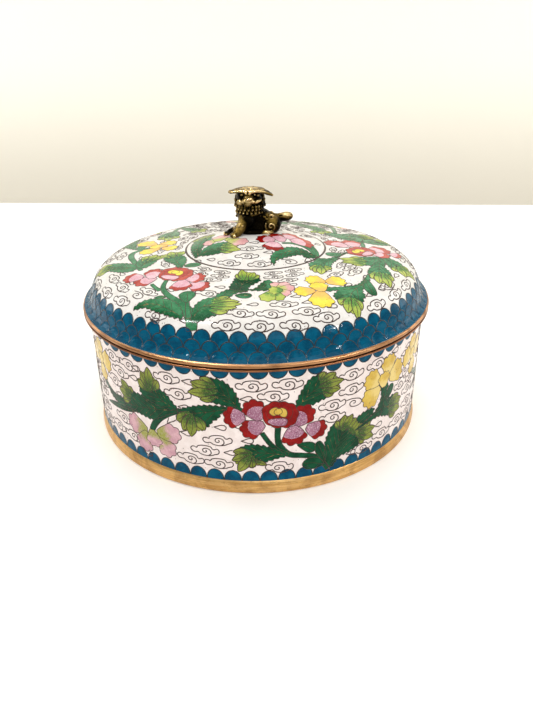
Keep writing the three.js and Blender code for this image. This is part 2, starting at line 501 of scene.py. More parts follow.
def metal(name, base, worn, stain, rough, brushed, scratch=0.5):
    """Turned gilt metal: rubbed along its turning, with stains, bright rubs and fine scratches."""
    finish = Finish(name, metallic=1.0)
    drawn = finish.noise(1.0, 4.0, place=finish.stretched(*brushed))
    blotches = finish.between(finish.noise(16.0, 5.0, warp=1.2), 0.42, 0.68)
    small = finish.between(finish.noise(2.2, 4.0), 0.55, 0.75)
    colour = finish.mixed(finish.between(drawn, 0.3, 0.75), base, worn)
    colour = finish.mixed(blotches * 0.45 + small * 0.25, colour, stain)
    lines = finish.noise(1.3, 1.0, place=finish.stretched(0.35, 0.35, 2.4), warp=2.0)
    nicks = finish.between(lines, 0.66, 0.70) * scratch
    colour = finish.mixed(nicks, colour, NICK_BROWN)
    finish.set("Base Color", colour)
    finish.set("Roughness", drawn * 0.16 + blotches * 0.14 + nicks * 0.1 + (rough - 0.08))
    finish.raised(drawn * 0.5 + finish.noise(5.0, 2.0) * 0.5 - nicks * 0.5, 0.10)
    return finish.material


WALL_WHITE = enamel("wall_white", (249, 236, 231), (239, 224, 218), (252, 246, 243))
CROWN_WHITE = enamel("crown_white", (238, 234, 229), (229, 224, 217), (248, 246, 243))
LINING_BLUE = enamel("lining_blue", (64, 160, 170), (46, 138, 150), (104, 188, 192),
                     pits=0.2, gloss=0.25)
SEA_BLUE = enamel("sea_blue", (0, 88, 118), (0, 66, 94), (4, 112, 140),
                  grain=0.3, pits=0.05, shine=0.09)
DEEP_GREEN = enamel("deep_green", (6, 82, 50), (0, 58, 34), (26, 104, 66), grain=0.3, pits=0.05)
FRESH_GREEN = enamel("fresh_green", (66, 136, 92), (38, 108, 68), (108, 166, 120),
                     second=(2, 80, 42), grain=0.3, pits=0.05)
WALL_SPRING = enamel("wall_spring_green", (142, 152, 64), (118, 132, 50), (182, 186, 106),
                     second=(52, 88, 40), pits=0.05)
CROWN_SPRING = enamel("crown_spring_green", (188, 200, 96), (160, 180, 76), (214, 222, 140),
                      second=(84, 138, 64), grain=0.3, pits=0.05)
MAUVE = enamel("mauve", (176, 124, 146), (148, 92, 118), (232, 206, 216), grain=0.95)
BLOOD_RED = enamel("blood_red", (152, 18, 14), (126, 6, 6), (182, 48, 36), grain=0.25, pits=0.06)
CORAL = enamel("coral", (196, 86, 74), (168, 56, 48), (216, 122, 106), pits=0.06)
SHELL_PINK = enamel("shell_pink", (232, 190, 199), (214, 158, 172), (250, 228, 232),
                    grain=0.8, pits=0.06)
WALL_YELLOW = enamel("wall_yellow", (222, 190, 86), (206, 168, 70), (238, 214, 128),
                     second=(232, 206, 128), pits=0.05)
CROWN_YELLOW = enamel("crown_yellow", (246, 226, 80), (238, 206, 66), (252, 234, 126),
                      second=(238, 188, 100), pits=0.08)
WALL_BLUSH = enamel("wall_blush", (220, 176, 182), (198, 148, 160), (236, 208, 212),
                    second=(158, 160, 76), grain=0.4, pits=0.06)
CROWN_BLUSH = enamel("crown_blush", (232, 184, 182), (218, 158, 160), (246, 220, 214),
                     second=(184, 196, 96), grain=0.4, pits=0.06)


def wire_metal(name, base, glint, share, metallic=0.7):
    """Fine flat wire, mostly darkened, with bare glints."""
    finish = Finish(name, metallic=metallic, roughness=0.42)
    bare = finish.between(finish.noise(1.8, 3.0), share, share + 0.14)
    finish.set("Base Color", finish.mixed(bare, base, glint))
    finish.raised(finish.noise(0.5, 2.0), 0.03)
    return finish.material


WIRE = wire_metal("dark_wire", (58, 38, 32), (134, 88, 64), 0.60, 0.5)
SCALE_WIRE = wire_metal("scale_wire", (14, 30, 38), (84, 62, 48), 0.64, 0.35)
VEIN_WIRE = wire_metal("vein_wire", (52, 50, 28), (158, 114, 68), 0.56)
TURNED = (0.06, 0.06, 2.6)
FOOT_GILT = metal("foot_gilt", (194, 148, 84), (228, 188, 126), (126, 84, 44), 0.34, TURNED)
# the same gilt as the lid's rim, with the shade under that rim painted in as a darker colour
MOUTH_GILT_IN_PAINTED_SHADE = metal("mouth_gilt", (104, 66, 42), (150, 100, 66), (56, 34, 22), 0.36, TURNED)
RIM_GILT = metal("rim_gilt", (144, 98, 62), (198, 150, 106), (76, 48, 30), 0.34,
                 (0.10, 0.10, 2.2), scratch=0.3)


# ---- the flat drawing -------------------------------------------------------------------
def through(points, steps=6, closed=True):
    """A smooth line through given points."""
    points = np.array(points, float)
    if closed:
        points = np.concatenate([points[-1:], points, points[:2]])
    else:
        before, beyond = 2 * points[:1] - points[1:2], 2 * points[-1:] - points[-2:-1]
        points = np.concatenate([before, points, beyond])
    t = np.linspace(0, 1, steps, endpoint=False)[:, None]
    spans = []
    for a, b, c, d in zip(points, points[1:], points[2:], points[3:]):
        spans.append(0.5 * (2 * b + (c - a) * t + (2 * a - 5 * b + 4 * c - d) * t ** 2
                            + (3 * b - a - 3 * c + d) * t ** 3))
    if not closed:
        spans.append(points[-2:-1])
    return np.concatenate(spans)


def evened(line, pitch, closed=False):
    """The same line with points about a pitch apart."""
    if closed:
        line = np.concatenate([line, line[:1]])
    run = np.concatenate([[0], np.cumsum(np.hypot(*np.diff(line, axis=0).T))])
    count = max(int(round(run[-1] / pitch)), 3)
    marks = np.linspace(0, run[-1], count + (not closed), endpoint=not closed)
    return np.stack([np.interp(marks, run, line[:, k]) for k in (0, 1)], -1)


def side_of(line, closed=False):
    """Unit directions to the left of a line, point by point."""
    if closed:
        along = np.roll(line, -1, axis=0) - np.roll(line, 1, axis=0)
    else:
        along = np.gradient(line, axis=0)
    along = along / np.maximum(np.hypot(*along.T)[:, None], 1e-9)
    return np.stack([-along[:, 1], along[:, 0]], -1)


def turned_way(line):
    """+1 when a closed line runs against the clock, -1 with it."""
    after = np.roll(line, -1, axis=0)
    return np.sign(np.sum(line[:, 0] * after[:, 1] - line[:, 1] * after[:, 0]))


def toothed(outline, pitch=2.7, depth=0.56):
    """Cuts a leaf's edge into small teeth that all lean the same way."""
    line = evened(outline, pitch / 4, True)
    phase = (np.arange(len(line)) / 4) % 1
    tooth = (phase - 0.45) * depth * 2
    return line - side_of(line, True) * (turned_way(line) * tooth)[:, None]


def unlooped(line):
    """Cuts off the tiny loops where a closed line crosses itself."""
    longest_loop = 14

    def turn(a, b, c):
        return (b[:, 0] - a[:, 0]) * (c[:, 1] - a[:, 1]) - (b[:, 1] - a[:, 1]) * (c[:, 0] - a[:, 0])

    step = 2
    while step <= min(longest_loop, len(line) // 3):
        a, b = line, np.roll(line, -1, axis=0)
        c, d = np.roll(line, -step, axis=0), np.roll(line, -step - 1, axis=0)
        apart = (turn(a, b, c) * turn(a, b, d) < 0) & (turn(c, d, a) * turn(c, d, b) < 0)
        crossed = np.nonzero(apart)[0]
        if len(crossed):
            line = np.roll(line, -crossed[0], axis=0)[[0, *range(step + 1, len(line))]]
            step = 2
        else:
            step += 1
    return line


def inside(outline, points):
    """Which points lie inside a closed line."""
    x, y = points[:, 0][:, None], points[:, 1][:, None]
    ax, ay = outline[:, 0][None], outline[:, 1][None]
    bx, by = np.roll(outline[:, 0], -1)[None], np.roll(outline[:, 1], -1)[None]
    level = (ay > y) != (by > y)
    cross = ax + (y - ay) * (bx - ax) / np.where(by == ay, 1e-12, by - ay)
    return (np.sum(level & (x < cross), axis=1) % 2).astype(bool)


FENCE = 0.40
VEIN = 0.30
CELL_LIFT = 0.06
CELL_STEP = 0.55
WIRE_STEP = 0.6


class Sprig:
    """One spray of the design: glass cells laid one over another, and the wires round them.
    Its leaves are of the green glass, and their tips of the spring one."""

    def __init__(self, green, spring):
        self.green, self.spring = green, spring
        self.cells = []
        self.wires = []

    def cell(self, glass, outline, fade=None, fence=FENCE, open_end=0.0):
        """A cell of one glass inside its wire. fade runs from its first point to its second.
        open_end leaves out the wire over that share of each end of the line."""
        outline = unlooped(evened(np.array(outline, float), CELL_STEP, True))
        if turned_way(outline) < 0:
            outline = outline[::-1]
        self.cells.append((glass, outline, fade))
        if fence:
            skip = int(len(outline) * open_end)
            closed = np.concatenate([outline, outline[:1]])
            line = outline[skip:len(outline) - skip] if skip else closed
            self.wires.append((line, fence, len(self.cells), "fence"))

    def wire(self, line, width=VEIN, kind="vein", smooth=True):
        line = through(line, 5, False) if smooth else np.array(line, float)
        self.wires.append((evened(line, WIRE_STEP), width, len(self.cells), kind))

    def moved(self, place):
        """A copy of the sprig with every line carried elsewhere."""
        copy = Sprig(self.green, self.spring)
        copy.cells = [(glass, place(outline), None if fade is None else place(fade))
                      for glass, outline, fade in self.cells]
        copy.wires = [(place(line), *rest) for line, *rest in self.wires]
        return copy

    def clear_wires(self):
        """The wires, without what later cells cover."""
        for line, width, order, kind in self.wires:
            shown = np.ones(len(line), bool)
            for _, outline, _ in self.cells[order:]:
                near = np.all((line > outline.min(0) - 1) & (line < outline.max(0) + 1), axis=1)
                if near.any():
                    shown[near] &= ~inside(outline, line[near])
            changes = np.nonzero(np.diff(shown.astype(int)))[0] + 1
            for run in np.split(np.arange(len(line)), changes):
                if shown[run[0]] and len(run) > 1:
                    first, last = max(run[0] - 1, 0), min(run[-1] + 2, len(line))
                    yield line[first:last], width, kind

    def stem(self, line, widths):
        """A stem that follows a line, its width changing from end to end."""
        middle = evened(through(line, 6, False), 0.8)
        share, marks = (np.linspace(0, 1, len(row)) for row in (middle, widths))
        side = side_of(middle) * np.interp(share, marks, widths)[:, None] / 2
        self.cell(self.green, np.concatenate([middle + side, (middle - side)[::-1]]),
                  fence=VEIN + 0.06)

    def finger(self, root, tip, width):
        """One lobe of a leaf's tip, wired all round but at its root."""
        root, tip = np.array(root, float), np.array(tip, float)
        along = tip - root
        t = np.linspace(0, 1, 18)
        half = width * 0.44 * np.sin(np.pi * (0.08 + 0.92 * t) ** 1.3) ** 0.9
        middle = root + along * t[:, None]
        side = np.array([-along[1], along[0]]) / np.hypot(*along)
        edges = [middle + side * half[:, None], (middle - side * half[:, None])[::-1]]
        self.cell(self.spring, np.concatenate(edges), (tip, root), FENCE + 0.16, 0.06)
        rib = [root + along * 0.22, root + along * 0.58 + side * width * 0.06, root + along * 0.88]
        self.wire(rib, VEIN + 0.10, "fence")

    def leaf_tip(self, fingers):
        """The paler end of a leaf: one toothed cell that spans its lobes, then each lobe."""
        roots = np.array([root for root, _, _ in fingers], float)
        tips = np.array([tip for _, tip, _ in fingers], float)
        middle, ahead = roots.mean(0), tips.mean(0) - roots.mean(0)
        out = tips - middle
        order = np.argsort(np.arctan2(ahead[0] * out[:, 1] - ahead[1] * out[:, 0], out @ ahead))
        tips = tips[order]
        ring = [middle + (tips[0] - middle) * 0.25]
        for here, beyond in zip(tips, tips[1:]):
            ring += [middle + (here - middle) * 0.95,
                     middle + ((here + beyond) / 2 - middle) * 0.86]
        ring += [middle + (tips[-1] - middle) * share for share in (0.95, 0.25)]
        web = toothed(through(ring + [middle - ahead * 0.12], 6), 1.8, 0.5)
        self.cell(self.spring, web, (middle + ahead * 0.8, middle), 0.34)
        for root, tip, width in fingers:
            self.finger(root, tip, width)

    def veins(self, spine, outline, count):
        """A rib down the leaf, and side veins that stop short of its edge."""
        rib = evened(through(spine, 8, False), 0.5)
        self.wire(rib, VEIN + 0.05, smooth=False)
        side = side_of(rib)
        along = np.stack([side[:, 1], -side[:, 0]], -1)
        reach = np.linspace(0, 12, 49)[:, None]
        for k in range(count):
            at = int(len(rib) * (0.10 + 0.78 * (k + 0.5) / count))
            for hand in (-1, 1):
                way = along[at] * 0.78 + side[at] * hand * 0.62
                run = rib[at] + way * reach + along[at] * reach ** 1.6 * 0.035
                held = inside(outline, run)
                stop = int((np.argmin(held) if not held.all() else len(run)) * 0.78)
                if stop > 5:
                    self.wire(run[:stop:2], smooth=False)

    def leaf(self, outline, spine, fingers=(), fade=None, count=4, teeth=True, glass=None):
        """A peony leaf: a toothed body with pairs of veins, and lobes at its tip.
        Each lobe is its root, its tip and its width."""
        edge = through(outline, 6)
        self.cell(glass or self.green, toothed(edge) if teeth else edge, fade, VEIN + 0.08)
        self.veins(spine, edge, count)
        if fingers:
            self.leaf_tip(fingers)

    def small_leaf(self, outline, spine, fade=None):
        """A leaf with a smooth edge and only its rib."""
        self.leaf(outline, spine, fade=fade, count=0, teeth=False)

    def petal(self, rim, heart, base, tip, width, band=0.3, lobes=4):
        """A petal from its base to its tip: a scalloped rim of one glass, and a heart of another.
        Without a band it is all heart."""
        base, tip = np.array(base, float), np.array(tip, float)
        length = np.hypot(*(tip - base))
        along = (tip - base) / length
        side = np.array([-along[1], along[0]])
        foot, broad = 0.34, 0.60

        def half(s):
            s = np.clip(s, 0, 1)
            low = foot + (1 - foot) * np.sin(np.pi / 2 * np.clip(s / broad, 0, 1))
            high = np.sqrt(np.clip(1 - ((s - broad) / (1 - broad)) ** 2, 0, 1))
            return width / 2 * np.where(s < broad, low, high)

        def laid(ahead, across):
            return base + along * ahead[:, None] + side * across[:, None]

        turn = np.linspace(0, np.pi, 40)
        s = np.concatenate([np.linspace(0, broad, 10, endpoint=False),
                            broad + (1 - broad) * np.sin(turn), np.linspace(broad, 0, 11)[1:]])
        hand = np.concatenate([np.ones(10), np.cos(turn), -np.ones(10)])
        head = (s > broad) | (np.abs(hand) < 1)
        outline = laid(s * length, np.where(head, hand * width / 2, hand * half(s)))
        phase = np.zeros(len(s))
        phase[8:52] = np.linspace(0, lobes, 44)
        scallop = np.abs(np.sin(np.pi * phase)) * min(width, length) * 0.12
        outline = outline - side_of(outline, True) * (turned_way(outline) * scallop)[:, None]
        if not band:
            self.cell(heart, outline, (tip, base))
            return
        self.cell(rim, outline)
        inner = np.linspace(0, 1, 24)
        top = inner * (1 - band)
        held = np.minimum(half(top), half(inner)) * 0.97
        wave = np.abs(np.sin(np.pi * inner * 2.5)) * 0.35 * inner
        left = laid((top + 0.01) * length + wave, held)
        right = laid((top + 0.01) * length - wave * 0.3, -held)
        crest = np.linspace(1, -1, 15)[1:-1]
        bow = 0.5 - 0.5 * np.abs(np.sin(np.pi * (crest + 1) * 1.5))
        cap = laid((1 - band) * length + (1 - crest ** 2) * length * 0.05 - bow * 0.7,
                   crest * held[-2])
        self.cell(heart, np.concatenate([left[:-1], cap, right[:-1][::-1]]), fence=0)

    def petals(self, rim, heart, band, *petals):
        """Petals of two glasses, each from its base to its tip at a width."""
        for base, tip, width in petals:
            self.petal(rim, heart, base, tip, width, band)

    def blossom(self, glass, lobes, *petals):
        """Petals of one glass, each from its base to its tip at a width."""
        for base, tip, width in petals:
            self.petal(None, glass, base, tip, width, 0, lobes)

    def heart(self, rim, crescent, middle, place):
        """The bloom's cup: a lobed rim round three yellow lobes, over a pale crescent."""
        cup = through([(-8.2, 1.3), (-6.2, 4.9), (-2.8, 6.6), (0.9, 6.2), (3.9, 5.5), (7.0, 3.4),
            (8.2, -0.6), (7.2, -4.4), (4.2, -6.8), (1.8, -6.9), (-2.4, -6.4), (-5.8, -4.4)])
        bumps = np.abs(np.sin(np.linspace(0, 9 * np.pi, len(cup)))) * 0.75
        self.cell(rim, place(cup - side_of(cup, True) * (turned_way(cup) * bumps)[:, None]))
        pale = through([(-5.8, -3.6), (-4.4, -2.3), (-0.4, -2.1), (3.0, -2.6), (3.4, -4.6),
            (1.9, -6.4), (-2.4, -5.9), (-4.9, -4.6)])
        self.cell(crescent, place(pale))
        for lobe in (
                [(-5, 1.2), (-4.4, 3), (-2.4, 4), (-0.8, 3.4), (-0.9, 0.6), (-3, -0.5)],
                [(-1.2, 2.4), (0.4, 3.6), (2.6, 2.6), (3.4, 0.4), (2.6, -1.6), (0.6, -1.2),
                 (-0.6, 0.4)],
                [(-2.8, 1.5), (-1.6, 3.2), (0.4, 3), (1, 1), (-0.6, -0.2), (-2.2, 0.2)]):
            self.cell(middle, place(through(lobe, 4)), fence=VEIN + 0.1)
        for curl in ([(5.2, 3.6), (6.0, 1.2), (5.4, -1.6), (4.4, -3.2)],
                     [(-6.6, 2.0), (-6.2, -0.8), (-5.0, -2.4)]):
            self.wire(place(np.array(curl)), VEIN, "fence")


def carried(angle=0.0, size=1.0, to=(0.0, 0.0)):
    """A move on the flat: turned by degrees and scaled about the middle, then shifted."""
    turn = math.radians(angle)
    matrix = size * np.array([[math.cos(turn), math.sin(turn)], [-math.sin(turn), math.cos(turn)]])
    return lambda points: np.asarray(points, float) @ matrix + to


def sprig_of(draw, green, spring):
    """The sprig that a drawing function fills."""
    sprig = Sprig(green, spring)
    draw(sprig)
    return sprig


# ---- the sprays round the body: x runs round the wall, y up it ---------------------------
def wall_peony(sprig):
    """The red peony at the front, with its stems and leaves."""
    sprig.stem([(8.4, 36), (8.2, 30), (9.6, 25), (13.6, 20.8), (20, 19.2), (25.4, 17.6),
        (29.6, 13.4), (32.6, 8.6)], (2.6, 2.4, 3.2, 2.8, 2.6, 2.6, 2.4, 2.2))
    sprig.stem([(1.2, 33.4), (4.6, 27.8), (8.6, 23.4), (13, 20.8)], (2, 2.2, 2.4))
    sprig.leaf([(12.4, 20.3), (9, 23.6), (3, 26.3), (-1, 27.2), (-5, 27.3), (-8.8, 25.4),
        (-9.6, 21.6), (-6, 18.2), (-1, 16.9), (4, 17.8), (8.4, 19.2)],
        [(11, 20.8), (4, 22.4), (-3, 22.8), (-8, 21.4)],
        [((-3.5, 23.2), (-11.9, 23.4), 4.6), ((-3, 18.6), (3.2, 15.9), 3),
        ((-3.6, 20), (-3.4, 14.2), 4.2), ((-4, 22.4), (-12.6, 18.2), 4.6),
        ((-3.6, 22), (-10, 12), 5.6)])
    sprig.leaf([(-7.4, 44.2), (-8.2, 49), (-9.8, 54), (-13, 58), (-16.5, 60.1), (-21, 60.4),
        (-23, 57), (-22.4, 53), (-22, 50.2), (-20.6, 48.2), (-17, 47.6), (-12, 46)],
        [(-8.4, 45.6), (-12, 50.4), (-16.4, 53.6), (-21, 55.4)],
        [((-18.6, 57), (-25.4, 60.2), 5), ((-18.4, 51.4), (-25.8, 49.2), 4.6),
        ((-18, 56.4), (-30, 57.4), 4.8), ((-18, 53.6), (-31.6, 52.2), 5.2)])
    sprig.leaf([(-9, 47.2), (-13, 47), (-20, 46.9), (-25, 46.4), (-31, 44.7), (-37.6, 41.4),
        (-35.4, 38.4), (-30, 36.3), (-24, 34.8), (-22, 36.5), (-20.5, 38.6), (-18, 40.3),
        (-16.4, 43), (-13.6, 45.2)], [(-10, 46.6), (-17, 44.8), (-24, 42.8), (-33, 40.6)],
        [((-31.4, 42), (-38.4, 35.8), 5.4), ((-28.4, 40), (-24.6, 33.2), 5.4),
        ((-31.6, 41), (-35.4, 31.2), 5), ((-30.2, 40.4), (-31.4, 28.6), 5.8)])
    sprig.leaf([(16.8, 44.4), (16.2, 47.5), (17.5, 51), (19.5, 55), (22, 58.6), (25.4, 60.4),
        (29, 60.2), (31, 55), (32.4, 51), (33, 48.8), (28, 47), (24, 45.6), (20, 45)],
        [(17.4, 45.6), (21, 50), (25, 53), (30, 54.6)],
        [((27, 57), (29, 61.4), 4.4), ((28.6, 51.4), (33.6, 48.6), 4.4),
        ((27, 56), (34.6, 59.8), 4.8), ((28, 52.4), (37.4, 51.2), 4.6),
        ((26.6, 54.2), (39, 55.4), 4.8)])
    sprig.small_leaf([(17.2, 25.6), (20, 26.4), (24, 25.8), (26.2, 23.6), (25.6, 20.8), (23, 20.2),
        (20.4, 22)], [(25.6, 20.6), (22.4, 23), (18.6, 25.2)])
    sprig.small_leaf([(26, 20), (25.8, 24), (27.8, 25.6), (30, 23), (31.4, 19), (31.2, 14.6),
        (29.4, 14.6), (27.6, 17.2)], [(31, 13), (29.6, 18), (27.2, 24)])
    sprig.small_leaf([(19.8, 14.4), (22, 16.9), (25.5, 17.2), (28.6, 15.4), (30.4, 12.2),
        (27.6, 10.8), (24, 10.6), (21, 11.6)], [(30, 12), (25, 14), (21, 14.4)])
    sprig.petals(BLOOD_RED, MAUVE, 0.32, ((2.2, 38.4), (-7.2, 33.8), 8.9),
        ((0.8, 40.4), (-4.2, 49.5), 8.7), ((-6, 42), (-14.9, 41.3), 9.5),
        ((21.4, 34.6), (30, 30.7), 8.6), ((13.8, 36), (23.5, 44), 9.3),
        ((15, 36), (16.3, 26.5), 10))
    sprig.heart(BLOOD_RED, MAUVE, WALL_YELLOW, carried(to=(9.3, 42.7), size=0.95))


def wall_yellow(sprig):
    """The yellow blossom and the broad leaves that share its stem."""
    sprig.leaf([(33, 9.2), (30.8, 14), (30.3, 20), (31, 26), (33, 31), (34.5, 33), (37, 33),
        (40, 30.5), (43, 29), (45, 30.4), (48, 32.7), (52, 34.2), (57, 34.4), (58.8, 32.8),
        (57, 30.3), (54, 28.6), (51.4, 26.4), (50.6, 22), (50.8, 18), (50, 16.6), (47, 15.5),
        (42, 14.3), (38, 13.3), (35.5, 9.8)], [(34, 11), (36, 18), (38.6, 24), (41, 29)],
        [((38.6, 29), (35.8, 34.2), 4), ((40, 28), (47.4, 32.4), 5),
        ((39.2, 28), (40.6, 36.4), 4.8), ((39.8, 27.6), (45, 35.4), 4.8),
        ((50, 24), (50.6, 28.4), 4), ((49.4, 20.4), (53, 16.6), 4.2),
        ((49.2, 23.6), (57, 27), 4.8), ((49, 21.4), (59.4, 18), 4.8),
        ((48.6, 22.8), (60.2, 22.8), 5)], count=5)
    for line in ([(35, 13), (41, 16), (46, 18.6), (50, 22)],
            [(37, 20), (43, 24), (48, 28.6), (55, 32)], [(40, 17), (43, 20), (47, 21)],
            [(42, 22), (46, 23), (49, 25.6)]):
        sprig.wire(line)
    sprig.leaf([(62.2, 43.8), (62.9, 39), (62.4, 36), (60, 32.2), (56, 30), (51.5, 28.2),
        (53, 26.6), (57, 27.2), (62, 27.4), (66, 26), (70, 24.6), (75, 24.8), (77, 29),
        (76.4, 33.2), (73, 35.3), (69.4, 34.8), (68.4, 37), (67.3, 39), (67.9, 43.6)],
        [(65, 42.6), (65, 36), (66.4, 31), (74, 29)],
        [((70, 32), (78.8, 33.2), 4.6), ((70.4, 26.4), (76, 21.4), 4.6),
        ((70, 30.6), (82.2, 29.6), 5), ((70, 28), (81.6, 23.8), 5.2)], count=3)
    sprig.small_leaf([(67, 37.2), (68, 40.6), (70, 42.2), (72.5, 41.3), (72.2, 38.3), (70.2, 36),
        (68, 35)], [(67.4, 36), (69.6, 38.6), (71.4, 40.6)])
    sprig.stem([(64, 29.6), (59, 28.8), (54, 27.8), (47, 25.6)], (3.2, 2.4, 1.6, 0.8))
    sprig.blossom(WALL_YELLOW, 5, ((61.2, 44.4), (52.2, 37.8), 10),
        ((61, 46.4), (52.4, 51.8), 9), ((67.4, 48.8), (66.8, 58.2), 9.4),
        ((68.2, 46.2), (78.8, 48.8), 11), ((64.4, 42.8), (64.2, 50.4), 7.6))


def wall_blush(sprig):
    """The pink and green blossom, and the long leaves that sweep off to its left."""
    sprig.stem([(-36, 41.6), (-42, 38.6), (-47.6, 34.6), (-51, 30.4), (-53.4, 26)],
        (2.4, 3, 3.4, 3))
    sprig.leaf([(-37, 41.6), (-44, 43), (-52, 43.6), (-60, 43.6), (-66, 43), (-68.6, 39.6),
        (-70.4, 36.6), (-76, 36.3), (-84, 35.2), (-87, 34.2), (-82, 31.8), (-74, 30.8), (-68, 32.2),
        (-60, 32.4), (-53, 32), (-48.6, 34), (-43, 37.4), (-38.4, 40)],
        [(-39, 40.8), (-50, 38.6), (-62, 36), (-76, 33.6)],
        [((-66, 41.6), (-64.6, 45.4), 4), ((-66.4, 38.4), (-72.6, 35.4), 4.6),
        ((-65.6, 41), (-72.6, 46.8), 5.2), ((-65.6, 39.6), (-75, 40.8), 5.2)], count=7)
    sprig.leaf([(-62, 33.4), (-70, 32.6), (-77, 31.4), (-84, 29.6), (-90.6, 26.8), (-84, 27.2),
        (-76, 28.4), (-70, 29.8), (-65, 31.6)], [(-64, 32.6), (-74, 30.4), (-86, 28)], count=3,
        teeth=False)
    sprig.leaf([(-37.4, 41.8), (-40, 45.4), (-43, 48.6), (-47, 50.6), (-52, 51.4), (-57, 50),
        (-58.8, 46.4), (-56.2, 43.2), (-50, 41.4), (-43, 40.6)],
        [(-38.4, 41.6), (-44, 43.8), (-49, 46.4), (-53, 49)],
        [((-53, 47), (-59.4, 51.4), 4.8), ((-50, 48.4), (-46.6, 54.2), 4.8),
        ((-52.6, 47.6), (-56.6, 56.6), 5.2), ((-51.4, 47.8), (-52.2, 59.8), 5.8)])
    sprig.blossom(WALL_BLUSH, 4, ((-56.6, 24.4), (-69.2, 25.8), 9.6),
        ((-56.8, 23.6), (-60.8, 12.8), 9.2), ((-49.4, 24), (-42.8, 15), 9.4),
        ((-50.2, 25.2), (-37.8, 28.6), 9), ((-53.4, 26.2), (-52.4, 17.6), 8.2))


def wall_buds(sprig):
    """Yellow petals beyond the long leaves."""
    sprig.stem([(-80, 34), (-88, 36.6), (-93, 40.4), (-95.6, 44)], (2.6, 2.4, 2))
    sprig.blossom(WALL_YELLOW, 5, ((-92, 50), (-82, 51.6), 9.6), ((-93.4, 47.6), (-92, 38.8), 8.6),
        ((-94.6, 50.6), (-94.4, 59.6), 8.6), ((-96, 49), (-105, 51.8), 9.2))
    sprig.blossom(WALL_YELLOW, 4, ((-94.2, 46.4), (-94, 52.6), 6.4))


WALL_ROUND = 2 * math.pi * BODY_R
# the four sprays fill a third of the wall from here on, and the other thirds repeat it
WALL_UNIT = WALL_ROUND / 3
UNIT_FIRST = -105.0
THIRDS = (-1, 0, 1)
unit_sprigs = [sprig_of(draw, DEEP_GREEN, WALL_SPRING)
               for draw in (wall_peony, wall_yellow, wall_blush, wall_buds)]
wall_sprigs = [sprig.moved(carried(to=(third * WALL_UNIT, 0)))
               for sprig in unit_sprigs for third in THIRDS]


# ---- the sprays over the lid, as seen from above -----------------------------------------
def crown_peony(sprig):
    """The coral peony at the front left, its stem and the leaves at its foot."""
    sprig.stem([(-49.6, -45.6), (-47.4, -49.6), (-44.6, -53.4)], (1.6, 2.2))
    sprig.stem([(-42.6, -42), (-43.6, -48), (-43, -53), (-40, -59), (-34.6, -66), (-30.8, -72),
        (-28.6, -78), (-28.8, -83.4)], (1.8, 2.2, 2.6, 3, 3.6, 4.4, 5.4, 5))
    sprig.leaf([(-57, -63.6), (-54.4, -61.4), (-50, -60.3), (-45, -60.6), (-39.4, -62.6),
        (-35.4, -66.6), (-33, -71.4), (-32.2, -76.6), (-36, -75.8), (-41, -72.6), (-46, -69),
        (-50.4, -65.4), (-54, -64.6)], [(-34, -75), (-40, -69), (-46, -64.6), (-54, -62.8)],
        fade=((-42, -64), (-47, -72)))
    sprig.small_leaf([(-46.4, -59.6), (-43.4, -58.4), (-41, -60.6), (-43.6, -61.4)],
        [(-41.6, -60.4), (-44.6, -59.8)])
    sprig.stem([(-31.4, -62), (-30.6, -68), (-29.6, -77.4)], (1.4, 1.8, 2.6))
    sprig.small_leaf([(-35.2, -60), (-33.8, -57.4), (-31, -56.6), (-28.6, -58), (-27.6, -61),
        (-29.2, -64.4), (-31, -67.2), (-33.8, -64)], [(-30.8, -66), (-31.4, -59)])
    sprig.leaf([(-28.6, -79.4), (-28, -72.6), (-25.6, -67), (-21.4, -64.2), (-17, -64.4),
        (-14, -68), (-14, -74), (-17, -77.8), (-20.4, -78.6), (-24, -80)],
        [(-27.6, -77.6), (-24, -72), (-20, -70.4), (-16, -70)],
        [((-20, -67), (-12, -64.4), 4.6), ((-20.4, -74.6), (-12.6, -76.8), 4.6),
        ((-20, -68.6), (-7.6, -68.6), 5), ((-20, -72.6), (-8.6, -73.6), 4.8),
        ((-20.4, -70.6), (-6.4, -70.8), 4.6)], fade=((-24, -68), (-25, -82)), count=3)
    sprig.petals(CORAL, SHELL_PINK, 0.27, ((-48.4, -38.6), (-57.5, -43.2), 9),
        ((-50.4, -39.4), (-50.8, -28.4), 7.9), ((-55, -36.6), (-63.9, -34.7), 9),
        ((-31, -48.4), (-23.6, -55.1), 8.8), ((-34.6, -42.6), (-25.1, -43.9), 8.8),
        ((-35.2, -44.4), (-35.2, -54.6), 9))
    sprig.heart(CORAL, SHELL_PINK, CROWN_YELLOW,
        carried(-22, 1.04, (-39.2, -36.4)))


